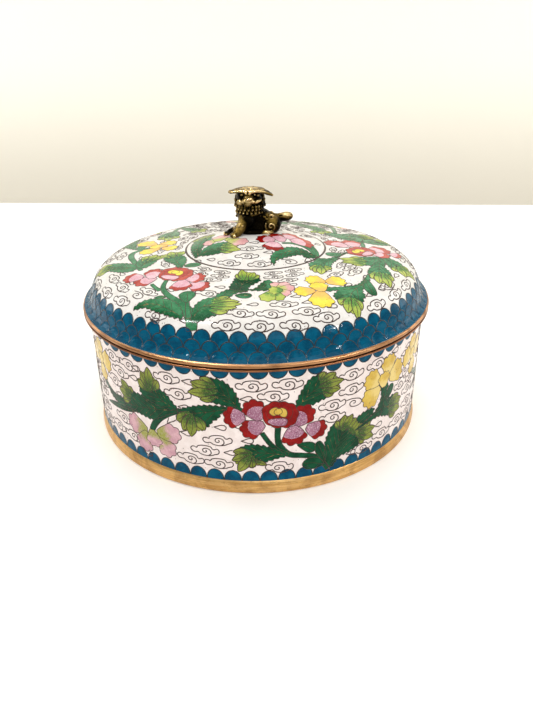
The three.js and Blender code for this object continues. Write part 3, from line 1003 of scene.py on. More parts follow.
def crown_bud_group(sprig):
    """The upright leaves at the front, and the small pink and green blossom beside them."""
    sprig.leaf([(-12.6, -56.6), (-11, -50), (-9.8, -46), (-5, -44.6), (-0.4, -45.4), (2.2, -49),
        (-0.6, -52.6), (-3.2, -55.6), (-4, -60), (-9, -59.4)],
        [(-7.6, -59), (-6.6, -53), (-4.6, -47)],
        [((-7, -48.6), (-9.4, -41.6), 3.8), ((-2.2, -48.6), (1.4, -43.4), 3.8),
        ((-3, -48.8), (-1, -40.2), 4), ((-6, -48.8), (-7, -37), 4.8)], count=3,
        glass=DEEP_GREEN)
    sprig.leaf([(-4.2, -59), (-0.4, -56.8), (2, -52.4), (4.6, -49), (6.8, -49.4), (7.6, -53),
        (6.6, -58), (4, -59.6)], [(-2, -58.6), (3, -55.6), (5.6, -51)],
        fade=((7.4, -54), (2.4, -55)), count=2)
    sprig.leaf([(-18.6, -63), (-13.6, -57.6), (-9, -58.4), (-4, -60), (-9, -61.4), (-13, -65.4),
        (-17, -66)], [(-17.4, -64.4), (-12, -60.6), (-6, -59.8)], fade=((-12, -66), (-8, -56)),
        count=2)
    sprig.small_leaf([(-9.6, -63), (-6, -61.4), (-3, -62), (-2.2, -64), (-4, -66), (-7.4, -65.6)],
        [(-3, -63.6), (-8.4, -63.2)], ((-6, -68), (-5, -60)))
    sprig.blossom(CROWN_BLUSH, 4, ((8.6, -57.8), (9.8, -51.8), 5.6),
        ((9.6, -57.6), (14.6, -51.8), 4.6), ((10.4, -57.4), (17.2, -56.6), 5.6),
        ((9.6, -58.6), (14.4, -63.2), 5.6))
    sprig.blossom(CROWN_SPRING, 4, ((8.6, -60), (10.4, -68), 5.2),
        ((7.4, -59.6), (3.6, -68.4), 6.6), ((12, -59), (6, -59.4), 6.2))


def crown_yellow(sprig):
    """The yellow blossom and the long leaf to its right."""
    sprig.leaf([(32, -55.4), (38, -54), (43, -52.4), (48, -49.4), (52, -42.6), (54.8, -36.6),
        (55, -42), (52.6, -48.6), (50.2, -53), (49, -57.6), (49.8, -60.4), (48.4, -63.6),
        (47.4, -67.4), (42, -67.6), (36.6, -67), (34.6, -63), (36, -59.6), (37.4, -57.2),
        (32.2, -59.2)], [(53.6, -39.6), (49.6, -49.6), (44.6, -57), (41.6, -64.6)],
        [((40, -63.6), (36.6, -69.6), 4.8), ((44, -63.6), (47.6, -69.4), 4.4),
        ((41, -63.6), (40.4, -73.6), 5.6), ((43, -63.6), (45.8, -75.4), 4.8)],
        fade=((42, -52), (41, -70)))
    sprig.small_leaf([(50.2, -51), (51.6, -46.6), (53.6, -44.6), (54.8, -49), (55.6, -54),
        (55.4, -57.8), (52.6, -58.6), (50.6, -55.6)], [(52.2, -46), (52.6, -52), (53.6, -57)],
        ((52, -46), (54, -62)))
    sprig.blossom(CROWN_YELLOW, 5, ((32.4, -50.6), (24.2, -46.2), 7.8),
        ((32.8, -50.2), (41.2, -46.6), 8.6), ((26.8, -58.6), (17.8, -60.4), 7.6),
        ((29.2, -59), (28.6, -72), 9.8), ((30, -59.4), (28.2, -51.2), 7.6))


def crown_right(sprig):
    """The peony at the right, with the leaves that fan out in front of it."""
    sprig.stem([(66, -6), (65.6, -12), (64.6, -20), (62.6, -28)], (2.6, 3.6, 4.2, 3))
    sprig.leaf([(66, -10), (60, -12.6), (54, -14.6), (52.6, -19), (54, -25.6), (60, -25),
        (64, -18)], [(64.4, -12.6), (59, -17), (54, -20)],
        [((56, -16.6), (49.6, -15.6), 4.8), ((56, -23.6), (49, -27), 5),
        ((56.4, -19), (42.8, -19.6), 5.4), ((56.4, -21.6), (43.4, -24.6), 5)],
        fade=((58, -16), (66, -30)), count=3)
    sprig.leaf([(66, -11), (63, -18), (59, -25), (55.6, -32), (55, -37), (60.4, -38.6), (66, -37),
        (66.6, -31), (65, -25), (67.2, -18), (68.6, -12)], [(65.6, -14), (63, -23), (60.8, -33)],
        [((58.6, -33.6), (56, -42.4), 4.8), ((64.2, -34), (66, -42), 4.4),
        ((59.8, -34), (58.6, -46.8), 5), ((62.2, -34), (63.6, -48.8), 5.2)],
        fade=((60, -26), (70, -50)))
    sprig.leaf([(66, -9), (66.6, -16), (67, -22), (69, -27.6), (73, -26.6), (76.4, -22), (75, -16),
        (72, -12.6), (69, -9)], [(67.6, -11), (70.6, -18), (73, -24)],
        [((71, -23), (69.6, -29.6), 4.6), ((74.4, -20), (78.6, -22.6), 4.6),
        ((72, -23), (75, -32.6), 5.4), ((73.6, -22), (82, -28.6), 5.6)],
        fade=((70, -14), (80, -34)), count=3)
    sprig.leaf([(50, -9), (46.6, -12), (43.6, -16.6), (41.6, -22), (38.6, -27), (36.6, -33),
        (32, -34.6), (27, -32.6), (26.6, -28.6), (29.6, -25), (31.6, -20.6), (37, -20.4),
        (41, -16.6), (45, -11.6), (47.6, -8.6)], [(47.6, -11), (42, -18), (36.6, -24), (31.6, -31)],
        [((30.4, -30), (26.8, -37), 4.4), ((34.4, -30.6), (36.4, -35.6), 4.4),
        ((31, -30.6), (28.6, -39.6), 4.6), ((32.4, -30.6), (31.4, -41.4), 5.2)],
        fade=((34, -24), (52, -22)), count=5)
    sprig.small_leaf([(37.4, -15.6), (37, -12), (40, -10.6), (44.4, -11), (45, -14), (41.6, -16.6)],
        [(44, -12.6), (39, -14)])
    sprig.stem([(59, 3), (59.6, 10), (58, 18), (54, 26)], (2, 2.8, 3.6))
    sprig.leaf([(58.6, 12), (52, 15.6), (46.4, 19.4), (41.4, 25), (40.6, 30.6), (45, 31.6),
        (50, 30), (55, 33), (60.6, 33.6), (65, 31), (63.6, 25), (60.8, 18)],
        [(58.6, 15), (53.6, 23), (57.6, 28.6)],
        [((60, 30), (65.6, 35.4), 4.6), ((60.6, 24), (68.4, 23.8), 4.4),
        ((61, 27), (71, 29.6), 5)], fade=((52, 18), (60, 44)))
    sprig.leaf([(60, 15), (64, 12.6), (70, 12), (76, 15), (76.6, 20), (71, 23.6), (64, 23)],
        [(61, 16), (68, 17.6), (74, 18.6)], [((70, 20), (72, 27), 4.8), ((71, 18), (80, 24), 5.2)],
        count=3)
    sprig.petals(CORAL, SHELL_PINK, 0.32, ((51.6, 2), (43.6, 5), 8.4),
        ((50, 1.4), (39.8, 9.6), 9.6), ((54.6, 2.6), (52.8, 14.8), 9.6),
        ((72.2, -3.2), (77.8, -5), 8.6), ((61.2, -2.6), (71.6, 4), 11),
        ((61.6, -5.4), (70.6, -8.6), 8.6))
    sprig.heart(CORAL, SHELL_PINK, CROWN_YELLOW,
        carried(62, to=(56.2, -4.8)))


def crown_left(sprig):
    """The yellow blossom at the left, and the leaves below it."""
    sprig.stem([(-57, 10), (-62.6, 7), (-67, 2.6), (-66.4, -5), (-63.4, -13), (-60.4, -21),
        (-57.6, -27)], (2, 2.6, 3.2, 3, 2.8, 2.6, 2))
    sprig.leaf([(-60.6, -20), (-65, -14.8), (-70.2, -11.8), (-76, -10), (-80, -11), (-79.6, -16),
        (-75, -21), (-68, -26), (-61.6, -26.4)], [(-61.4, -22.6), (-68, -18.6), (-75, -15.4)],
        [((-75, -13), (-82.6, -8.8), 4.6), ((-75, -18.6), (-81.6, -19.8), 4.6),
        ((-75, -16), (-87, -14), 5.2)], fade=((-68, -14), (-66, 4)), count=5)
    sprig.leaf([(-59.6, -23), (-62, -17), (-61.4, -11.6), (-57.6, -9.8), (-53, -10.6),
        (-50.8, -14.4), (-52.6, -20), (-56, -24.6)], [(-58.6, -22.6), (-57.4, -17), (-55, -12.6)],
        [((-59, -13.4), (-58, -6.2), 4.4), ((-54, -15.4), (-47.8, -9), 4.6),
        ((-56, -13.6), (-52.8, -5.6), 4.8)], fade=((-58, -16), (-56, 0)))
    sprig.leaf([(-38, -30.6), (-41.6, -24), (-46.6, -18), (-48, -12.6), (-44, -9.6), (-38.6, -11.6),
        (-36, -17), (-35.6, -24)], [(-38, -28), (-40.6, -20), (-43, -14)],
        [((-45, -13.6), (-50.4, -8), 4.4), ((-40.6, -12.6), (-38.6, -5), 4.6),
        ((-43.4, -13), (-45.6, -3.8), 5)], fade=((-40, -20), (-40, -36)))
    sprig.small_leaf([(-36, -27.4), (-33.6, -24.8), (-29.6, -25), (-27.6, -27.6), (-30, -29.8),
        (-34, -29.6)], [(-35, -27.6), (-29.6, -27.2)])
    sprig.leaf([(-65, 8), (-71, 14), (-76.6, 22), (-78, 32), (-74, 40), (-68.6, 34), (-68, 24),
        (-67, 15)], [(-66.6, 12), (-72, 24), (-73.6, 35)],
        [((-73, 34), (-79, 42), 5), ((-71.4, 34), (-67, 42.6), 5),
        ((-72.4, 34), (-73.4, 46), 5.2)])
    sprig.small_leaf([(-65, 8), (-66.6, 12.6), (-64.6, 16.4), (-61, 16), (-61, 12), (-62.6, 8.6)],
        [(-64, 9), (-63.6, 15)])
    sprig.blossom(CROWN_YELLOW, 5, ((-56, 13), (-65.6, 23.4), 8.8),
        ((-53.6, 13.2), (-45.2, 15.6), 8.8), ((-51.4, 5.4), (-43.6, 2.6), 7.6),
        ((-52.6, 5.6), (-62, 0.2), 8.4), ((-48.6, 9), (-58.4, 10.4), 6.6))


def crown_back(sprig):
    """Leaves and pale blossoms at the far side of the lid."""
    sprig.stem([(-38, 70), (-44, 60), (-48, 52), (-49, 44)], (2, 2.8, 2.8, 2.4))
    sprig.leaf([(-48.6, 46), (-54, 42), (-57.4, 35), (-56, 29.6), (-51, 26.6), (-47, 27),
        (-44.6, 32), (-45.6, 40)], [(-48.8, 43), (-50.4, 36), (-50.6, 29)],
        [((-54, 32), (-55.8, 25), 4.6), ((-47.6, 31), (-44.4, 24), 4.6),
        ((-50.8, 30.6), (-50, 19.8), 5.4)], fade=((-50, 36), (-50, 60)))
    sprig.leaf([(-46, 54), (-43.6, 47), (-40.6, 41), (-36, 37.6), (-32.6, 40), (-34, 46),
        (-39, 51.6), (-43, 55)], [(-44, 52.6), (-39.6, 46), (-35.6, 41)],
        [((-38, 41), (-35.6, 34.4), 4.4), ((-35.6, 45), (-28.6, 41.4), 4.2),
        ((-35.6, 42), (-29.6, 35), 4.8)], fade=((-40, 46), (-46, 70)))
    sprig.stem([(36, 74), (31, 66), (26, 60), (22, 56)], (2, 2.8, 3, 2.4))
    sprig.stem([(31, 66), (42, 58), (47, 48), (47, 30)], (2.4, 2.8, 2.6, 2))
    sprig.leaf([(20, 60), (23.6, 52), (29, 45.6), (33.6, 38), (37, 32), (41, 32.6), (42, 39),
        (38, 47), (31, 54), (24, 60.6)], [(23, 57), (31, 48), (37.6, 38)],
        [((36, 36), (33, 28.6), 4.4), ((40.6, 37), (44.6, 30.4), 4.4),
        ((38.6, 35), (38.8, 26), 5)], fade=((32, 44), (30, 70)), count=5)
    sprig.leaf([(20, 60), (13, 62), (6, 59), (3, 54), (8, 51), (15, 52.6), (20, 55.6)], [(19, 58),
        (12, 57), (7, 55)],
        [((7, 58), (0.6, 60.4), 4.4), ((8, 54), (2, 49.4), 4.4), ((7, 56), (-3.6, 54.6), 5)])
    sprig.blossom(CROWN_BLUSH, 4, ((46, 60), (44, 71), 9.6), ((49, 58), (58.6, 62), 8.8),
        ((51, 55), (58, 50), 8.2), ((-58, 50), (-66.4, 44), 8.6), ((-58, 53), (-66, 58), 8.6),
        ((-54, 55), (-52, 64), 8.4), ((-10, 70), (-18, 65), 8.6), ((-8, 73), (-12, 81), 8.4),
        ((-5, 70), (3, 73), 8.2))


def boss_spray(sprig):
    """The peony petals and leaves round the lion, inside the ring."""
    sprig.leaf([(-30.6, -19.6), (-33.4, -12), (-34.6, -4), (-34.2, 4), (-31, 11), (-26, 10),
        (-23.4, 3), (-25, -4), (-27.6, -8.6), (-28.6, -14)], [(-30, -17), (-30.6, -6), (-29, 5)],
        [((-31.6, 5), (-34, 14.6), 4.6), ((-26.6, 4), (-22.6, 12.6), 4.6),
        ((-29.6, 5), (-28.6, 17.6), 5.6)], fade=((-28, 2), (-33, -18)), count=5)
    sprig.leaf([(-30, -17), (-26.6, -10.4), (-21, -8), (-15.4, -9), (-11, -12), (-11, -17),
        (-14, -20.4), (-19, -20.8), (-24, -20.4), (-28.6, -18.6)],
        [(-28.4, -16.6), (-22, -14.4), (-15, -15)],
        [((-17, -12), (-9.6, -12.2), 4.2), ((-18, -19), (-11.6, -21.4), 3.8),
        ((-17.6, -16), (-7.4, -20.4), 5.2), ((-17.6, -14), (-8.6, -15.6), 4.6)],
        fade=((-22, -8), (-25, -22)))
    sprig.blossom(CROWN_BLUSH, 4, ((-20, -3), (-27, -5.4), 7), ((-19.6, -6), (-17.4, 2.6), 8.4),
        ((-15.6, -5), (-9.6, -7.8), 6.4), ((-14, -7), (-5, -13.2), 7.8))
    sprig.stem([(13.6, -12.4), (19, -10.6), (25, -11.4), (29.6, -15.4), (31, -20)],
        (1.2, 2.2, 3, 3.2))
    sprig.leaf([(31.6, -20.4), (28, -17), (24, -14.8), (19, -15), (14, -17.5), (10, -21.5),
        (7.6, -26), (7.2, -30), (9, -34), (10, -30.4), (12.5, -28.2), (16, -26), (19, -24),
        (23, -21.8), (25, -23.5), (28, -22.6)], [(29, -19), (21, -18.6), (13.6, -23), (9, -31)],
        fade=((12, -18), (22, -27)), count=6)
    sprig.small_leaf([(28.6, -4.6), (31, -9), (32.8, -14), (32.4, -19), (30, -16), (28.6, -10.6)],
        [(31.6, -17), (30.6, -11), (29, -6)])
    sprig.petals(BLOOD_RED, SHELL_PINK, 0.34, ((13.6, -10.6), (10.6, 0.4), 8.4),
        ((10, -9.6), (1.4, -7.6), 8.6), ((9.6, -11.6), (8.4, -20.4), 9.4))
    sprig.petals(CORAL, SHELL_PINK, 0.34, ((17, -5.6), (19.4, 4.6), 8),
        ((18.4, -8), (29.4, -4), 10.4))


crown_sprigs = [sprig_of(draw, FRESH_GREEN, CROWN_SPRING) for draw in (
    crown_peony, crown_bud_group, crown_yellow, crown_right, crown_left, crown_back, boss_spray)]


# ---- glass cells and wires made solid ----------------------------------------------------------
def inlay(sprigs):
    """All the cells as one flat skin: points, faces, each face's glass, and each point's fade."""
    gap, off_the_outlines = 1.5, 0.137
    points, faces, glasses, fades = [], [], [], []
    start = 0
    for sprig in sprigs:
        outlines = [outline for _, outline, _ in sprig.cells]
        low = np.min([o.min(0) for o in outlines], axis=0)
        high = np.max([o.max(0) for o in outlines], axis=0)
        across, up = np.meshgrid(np.arange(low[0], high[0], gap), np.arange(low[1], high[1], gap))
        spare = np.stack([across.ravel(), up.ravel()], -1) + off_the_outlines
        given = np.concatenate([*outlines, spare])
        ends = np.cumsum([0] + [len(o) for o in outlines])
        rings = [list(range(a, b)) for a, b in zip(ends, ends[1:])]
        cut = delaunay_2d_cdt([Vector(p) for p in given], [], rings, 1, 1e-4)
        flat, tris, owners = np.array([tuple(p) for p in cut[0]]), cut[2], cut[5]
        fade = np.zeros(len(flat))
        for tri, owner in zip(tris, owners):
            if not owner:
                continue
            glass, _, span = sprig.cells[max(owner)]
            faces.append([i + start for i in tri])
            glasses.append(glass)
            if span is not None:
                first, last = np.array(span[0]), np.array(span[1])
                way = last - first
                fade[list(tri)] = np.clip((flat[list(tri)] - first) @ way / (way @ way), 0, 1)
        points.append(flat)
        fades.append(fade)
        start += len(flat)
    return np.concatenate(points), faces, glasses, np.concatenate(fades)


def flowers(name, sprigs, wrap):
    """The cells of many sprigs as one piece on its shell, and their flat outline for the clouds."""
    flat, faces, glasses, fade = inlay(sprigs)
    solid = np.column_stack([flat, np.full(len(flat), CELL_LIFT)])
    kinds = sorted(set(glasses), key=lambda glass: glass.name)
    places = [kinds.index(glass) for glass in glasses]
    piece = mesh_object(name, wrap(solid), faces, kinds, places)
    mark_points(piece, "fade", fade)
    mask = template(name + "_mask", np.column_stack([flat, np.zeros(len(flat))]), faces=faces)
    return piece, mask


# sections of a wire: how far across it in half widths, and how high
RIDGE = ((-1.0, -0.06), (-0.45, 0.05), (0.45, 0.05), (1.0, -0.06))
# and of the wire over a scale: how far out from its edge, and how high
SCALE_RIDGE = ((0.14, 0.0), (-0.10, 0.09), (-0.38, 0.0))


def ribbons(name, lines, wrap, material, lift=CELL_LIFT):
    """Low ridges of wire along flat lines, each with its width."""
    points, faces = [], []
    start = 0
    for line, width in lines:
        closed = np.hypot(*(line[0] - line[-1])) < 1e-3
        side = side_of(line) * width / 2
        if closed:
            side[0] = side[-1] = (side[0] + side[-1]) / 2
        count = len(line)
        for across, height in RIDGE:
            points.append(np.column_stack([line + side * across, np.full(count, lift + height)]))
        for k in range(count - 1):
            a = start + k
            for band in range(len(RIDGE) - 1):
                first, second = a + band * count, a + (band + 1) * count
                faces.append((first, first + 1, second + 1, second))
        start += len(RIDGE) * count
    return mesh_object(name, wrap(np.concatenate(points)), faces, [material])


def fences(name, sprigs, wrap):
    """The wires of many sprigs: dark fences round the cells, and paler veins."""
    made = []
    for kind, material in (("fence", WIRE), ("vein", VEIN_WIRE)):
        lines = [(line, width) for sprig in sprigs for line, width, label in sprig.clear_wires()
                 if label == kind]
        made.append(ribbons(f"{name}_{kind}s", lines, wrap, material))
    return made


# ---- clouds and scales ------------------------------------------------------------------------
CLOUD_EDGE = [(-6.9, 0.1), (-6.2, 1.3), (-4.8, 1.4), (-3.9, 0.8), (-3.4, 1.9), (-1.6, 2.6),
    (1.0, 2.7), (3.0, 2.3), (3.8, 1.1), (4.7, 1.0), (6.0, 1.5), (6.9, 0.4), (6.4, -1.1),
    (4.8, -1.7), (3.2, -2.4), (0.6, -2.7), (-2.0, -2.2), (-3.3, -1.2), (-4.5, -1.4), (-6.0, -1.2)]
CLOUD_CURL = [(1.6, -2.65), (3.0, -1.3), (2.5, 0.6), (0.6, 1.3), (-0.9, 0.6), (-0.9, -0.6),
    (0.2, -1.0), (1.0, -0.3), (0.4, 0.3)]
DROP = [(-2.7, -0.1), (-1.2, 0.5), (0.6, 1.3), (2.2, 1.2), (2.9, 0.0), (2.1, -1.2), (0.5, -1.2),
    (-1.2, -0.6)]
ROLL = [(-4.6, 1.9), (-1.0, 2.1), (2.8, 1.3), (4.4, -0.4), (3.2, -1.9), (0.4, -2.3), (-2.0, -1.5),
    (-2.4, 0.2), (-0.8, 1.0), (0.7, 0.4), (0.4, -0.6), (-0.5, -0.4)]


def cloud_design(name, lines):
    """One cloud as bare lines, and each line tells whether it is closed."""
    points, edges = [], []
    for line, closed in lines:
        run = evened(through(line, 6, closed), 0.62, closed)
        start = len(points)
        points.extend((x, y, 0.0) for x, y in run)
        edges.extend((start + a, start + b) for a, b in path_edges(len(run), closed))
    return template(name, points, edges)


# the designs by number, as they lie in the drawer
A_CLOUD, FLIPPED, TALL, A_DROP, A_ROLL = range(5)
CLOUD_WIRE = 0.50


def cloud_designs():
    """A drawer of designs: the cloud and its mirror, a taller one, a drop and a loose roll."""
    drawer = bpy.data.collections.new("cloud_designs")
    edge, curl = np.array(CLOUD_EDGE), np.array(CLOUD_CURL)
    flip = np.array([-1.0, 1.0])
    designs = {"a_cloud": [(edge, True), (curl, False)],
               "b_cloud_flipped": [(edge * flip, True), (curl * flip, False)],
               "c_cloud_tall": [(edge * (0.94, 1.12), True),
                                (curl * (1.15, 1.1) + (-1.0, -0.3), False)],
               "d_drop": [(DROP, True)],
               "e_roll": [(ROLL, False)]}
    for name, lines in designs.items():
        drawer.objects.link(cloud_design(name, lines))
    return drawer


def cloud_tree():
    """Sets cloud designs on places, and draws them in wire wherever the flowers leave room."""
    tree = GrowingTree("cloud_wires", Places="Object", Designs="Collection", Flowers="Object",
                       Width="Float", Wire="Material")
    drawer = tree.node("GeometryNodeCollectionInfo", None, {
        "Collection": tree.given["Designs"], "Separate Children": True,
        "Reset Children": True}).outputs[0]
    turn = tree.node("ShaderNodeCombineXYZ", None, {"Z": tree.attribute("turn")}).outputs[0]
    size = tree.node("ShaderNodeCombineXYZ", None, {
        "X": tree.attribute("size"), "Y": tree.attribute("rise"), "Z": 1.0}).outputs[0]
    clouds = tree.node("GeometryNodeInstanceOnPoints", None, {
        "Points": tree.object_shape("Places"), "Instance": drawer, "Pick Instance": True,
        "Instance Index": tree.attribute("design", "INT"), "Rotation": turn,
        "Scale": size}).outputs[0]
    lines = tree.node("GeometryNodeRealizeInstances", None, {"Geometry": clouds}).outputs[0]
    place = tree.node("GeometryNodeInputPosition").outputs[0]
    above = tree.node("ShaderNodeVectorMath", {"operation": "ADD"}, {
        0: place, 1: (0, 0, 0.01)}).outputs[0]
    covered = tree.node("GeometryNodeRaycast", None, {
        "Target Geometry": tree.object_shape("Flowers"), "Source Position": above,
        "Ray Direction": (0, 0, -1), "Ray Length": 0.1}).outputs["Is Hit"]
    clear = tree.node("GeometryNodeDeleteGeometry", None, {
        "Geometry": lines, "Selection": covered}).outputs[0]
    curves = tree.node("GeometryNodeMeshToCurve", None, {"Mesh": clear}).outputs[0]
    ring = tree.node("GeometryNodeCurvePrimitiveCircle", None, {
        "Resolution": 4, "Radius": tree.given["Width"]}).outputs[0]
    wires = tree.node("GeometryNodeCurveToMesh", None, {
        "Curve": curves, "Profile Curve": ring}).outputs[0]
    return tree.end(wires, (tree.given["Wire"], None))


def uncovered(places, sprigs):
    """The clouds that the flowers leave mostly clear; one that is half hidden becomes a drop."""
    half_length, half_height, few, most = 7.2, 2.7, 0.30, 0.62
    across, up = np.meshgrid(np.linspace(-0.9, 0.9, 7), np.linspace(-0.8, 0.8, 3))
    across, up = across.ravel(), up.ravel()
    spots = []
    for x, y, turn, length, height, _ in places:
        dx, dy = across * half_length * length, up * half_height * height
        spots.append(np.stack([x + dx * math.cos(turn) - dy * math.sin(turn),
                               y + dx * math.sin(turn) + dy * math.cos(turn)], -1))
    spots = np.concatenate(spots)
    hidden = np.zeros(len(spots), bool)
    for sprig in sprigs:
        for _, outline, _ in sprig.cells:
            near = np.all((spots > outline.min(0)) & (spots < outline.max(0)), axis=1) & ~hidden
            if near.any():
                hidden[near] = inside(outline, spots[near])
    hidden = hidden.reshape(len(places), -1)
    kept = []
    for place, cover, middle in zip(places, hidden.mean(1), hidden[:, len(across) // 2]):
        if place[5] == A_DROP or cover < few:
            kept.append(place)
        elif cover < most and not middle:
            kept.append((*place[:5], A_DROP))
    return kept


def clouds(name, tree, designs, places, mask, wrap):
    """places are rows of x, y, turn, length, height and design."""
    places = np.array(places, float)
    spots = template(name + "_places", np.column_stack([places[:, :2], np.zeros(len(places))]),
                     turn=places[:, 2], size=places[:, 3], rise=places[:, 4],
                     design=places[:, 5].astype(int))
    made = tree.grow(name, Places=spots, Designs=designs, Flowers=mask,
                     Width=CLOUD_WIRE / 2 * MM, Wire=WIRE)
    return wrapped(made, wrap, CELL_LIFT - 0.01, 0.30)


def scale_design(name, width, rise, skirt):
    """One scale: a glass dome on a short skirt, and the raised wire over its top."""
    columns, rows = 8, 5
    angles = np.linspace(math.pi, 0, columns + 1)
    top = np.stack([width / 2 * np.cos(angles), rise * np.sin(angles)], -1)
    points, faces = [], []
    for k in range(rows + 1):
        share = k / rows
        points.extend((x, -skirt + (y + skirt) * share, 0.0) for x, y in top)
    for k in range(rows):
        for i in range(columns):
            a = k * (columns + 1) + i
            faces.append((a, a + 1, a + columns + 2, a + columns + 1))
    line = np.concatenate([[[-width / 2, -0.5]], evened(top, width / 9), [[width / 2, -0.5]]])
    side = side_of(line)
    start, count = len(points), len(line)
    for across, height in SCALE_RIDGE:
        points.extend((x, y, height) for x, y in line + side * across)
    for k in range(count - 1):
        for band in range(len(SCALE_RIDGE) - 1):
            a = start + band * count + k
            faces.append((a, a + 1, a + count + 1, a + count)[::-1])
    return template(name, points, faces=faces, wired=[0.0] * start + [1.0] * (len(points) - start))


def scale_tree():
    """A row of scales a pitch apart, in glass and wire."""
    tree = GrowingTree("scale_row", Design="Object", Count="Int", Start="Vector", Pitch="Vector",
                       Glass="Material", Wire="Material")
    row = tree.node("GeometryNodeMeshLine", {"mode": "OFFSET"}, {
        "Count": tree.given["Count"], "Start Location": tree.given["Start"],
        "Offset": tree.given["Pitch"]}).outputs[0]
    scales = tree.node("GeometryNodeInstanceOnPoints", None, {
        "Points": row, "Instance": tree.object_shape("Design")}).outputs[0]
    wired = tree.node("FunctionNodeCompare", {"data_type": "FLOAT", "operation": "GREATER_THAN"},
                      {"A": tree.attribute("wired"), "B": 0.5}).outputs[0]
    return tree.end(scales, (tree.given["Glass"], None), (tree.given["Wire"], wired))


def joined(name, pieces):
    """Several pieces as one."""
    with bpy.context.temp_override(active_object=pieces[0], selected_editable_objects=pieces,
                                   selected_objects=pieces):
        bpy.ops.object.join()
    pieces[0].name = pieces[0].data.name = name
    return pieces[0]


def scale_rows(name, tree, design, count, rows, span, wrap):
    """Rows of scales round a shell. Each row is its height, its offset in pitches and its lift."""
    made = []
    pitch = span / count
    for k, (height, offset, lift) in enumerate(rows):
        start = tuple(v * MM for v in (-span / 2 + offset * pitch, height, lift))
        row = tree.grow(f"{name}_{k}", Design=design, Count=count, Start=start,
                        Pitch=(pitch * MM, 0.0, 0.0), Glass=SEA_BLUE, Wire=SCALE_WIRE)
        made.append(wrapped(row, wrap))
    return joined(name, made)


# ---- the box ----------------------------------------------------------------------------------
def turned_ring(tree, name, node, material, slot, ease, *points):
    """A solid ring from the points of its section, as one piece that stands for its node."""
    section = eased(np.array(points, float), ease, True)
    settle(turned_piece(tree, name, section, material), slot, node)


def shells(tree):
    """The turned pieces: foot, body, mouth ring, lid rim and lid."""
    turned_ring(tree, "gilt_foot_band", "foot_band", FOOT_GILT, "gilt_foot", 0.25,
        (FOOT_R - 2.6, 0), (FOOT_R - 0.6, 0), (FOOT_R, 0.7), (FOOT_R, 2.2), (FOOT_R - 0.4, 4.4),
        (FOOT_R - 1.1, 6.2), (FOOT_R - 1.6, FOOT_TOP), (FOOT_R - 2.6, FOOT_TOP))

    inner, pan = BODY_R - WALL, FOOT_R - 2.9
    floor_top, corner_r = BODY_FLOOR + WALL, 5.5
    wall = np.linspace(FOOT_TOP + 0.8, BODY_TOP, 24)
    body = chain((0, BODY_FLOOR), (pan - 1.4, BODY_FLOOR), (pan, BODY_FLOOR + 1.2),
                 (pan, FOOT_TOP), (BODY_R - 0.7, FOOT_TOP),
                 np.stack([np.full(len(wall), BODY_R), wall], -1), (inner, BODY_TOP),
                 arc_round((inner - corner_r, floor_top + corner_r), corner_r, 0, -90, 8),
                 (0, floor_top))
    body = eased(body, 0.3)
    unseen = (body[:, 0] < BODY_R - 0.4) | (body[:, 1] < FOOT_TOP + 0.05)
    settle(turned_piece(tree, "body_shell", body, WALL_WHITE, LINING_BLUE, unseen, closed=False),
           "body_enamel", "box_body")

    collar_in, collar_out, bead_in = 83.8, 84.7, 88.2
    turned_ring(tree, "gilt_mouth_ring", "mouth_ring", MOUTH_GILT_IN_PAINTED_SHADE, "gilt_rim", 0.2,
        (collar_in, BODY_TOP), (RIM_R - 0.3, BODY_TOP), (RIM_R, BODY_TOP + 0.35),
        (RIM_R, LID_BASE - 0.25), (RIM_R - 0.2, LID_BASE), (collar_out, LID_BASE),
        (collar_out, COLLAR_TOP), (collar_in, COLLAR_TOP))
    turned_ring(tree, "gilt_lid_rim", "lid_rim", RIM_GILT, "gilt_rim", 0.3,
        (bead_in, LID_BASE), (RIM_R - 1.6, LID_BASE), (RIM_R - 0.8, LID_BASE + 0.45),
        (RIM_R - 0.2, LID_BASE + 0.7), (RIM_R, LID_BASE + 1.25), (RIM_R - 0.15, LID_BASE + 1.9),
        (RIM_R - 0.7, BEAD_TOP), (bead_in, BEAD_TOP))

    middle, hollow_r, hollow_base = 0.5, 85.6, 71
    hollow = sideways(LID_LINE, LID_WALL)
    radius, height = hollow.T
    hollow = hollow[(radius > middle) & (radius < hollow_r) & (height > hollow_base)]
    lining = chain((hollow[0, 0], BEAD_TOP), hollow, (0, SEAT - LID_WALL))[::-1]
    lid = np.concatenate([lining, LID_LINE])
    lined = np.arange(len(lid)) < len(lining)
    settle(turned_piece(tree, "lid_crown", lid, CROWN_WHITE, LINING_BLUE, lined, closed=False),
           "lid_enamel", "lid_shell")


COMMON_CLOUDS = (A_CLOUD, A_CLOUD, FLIPPED, TALL)


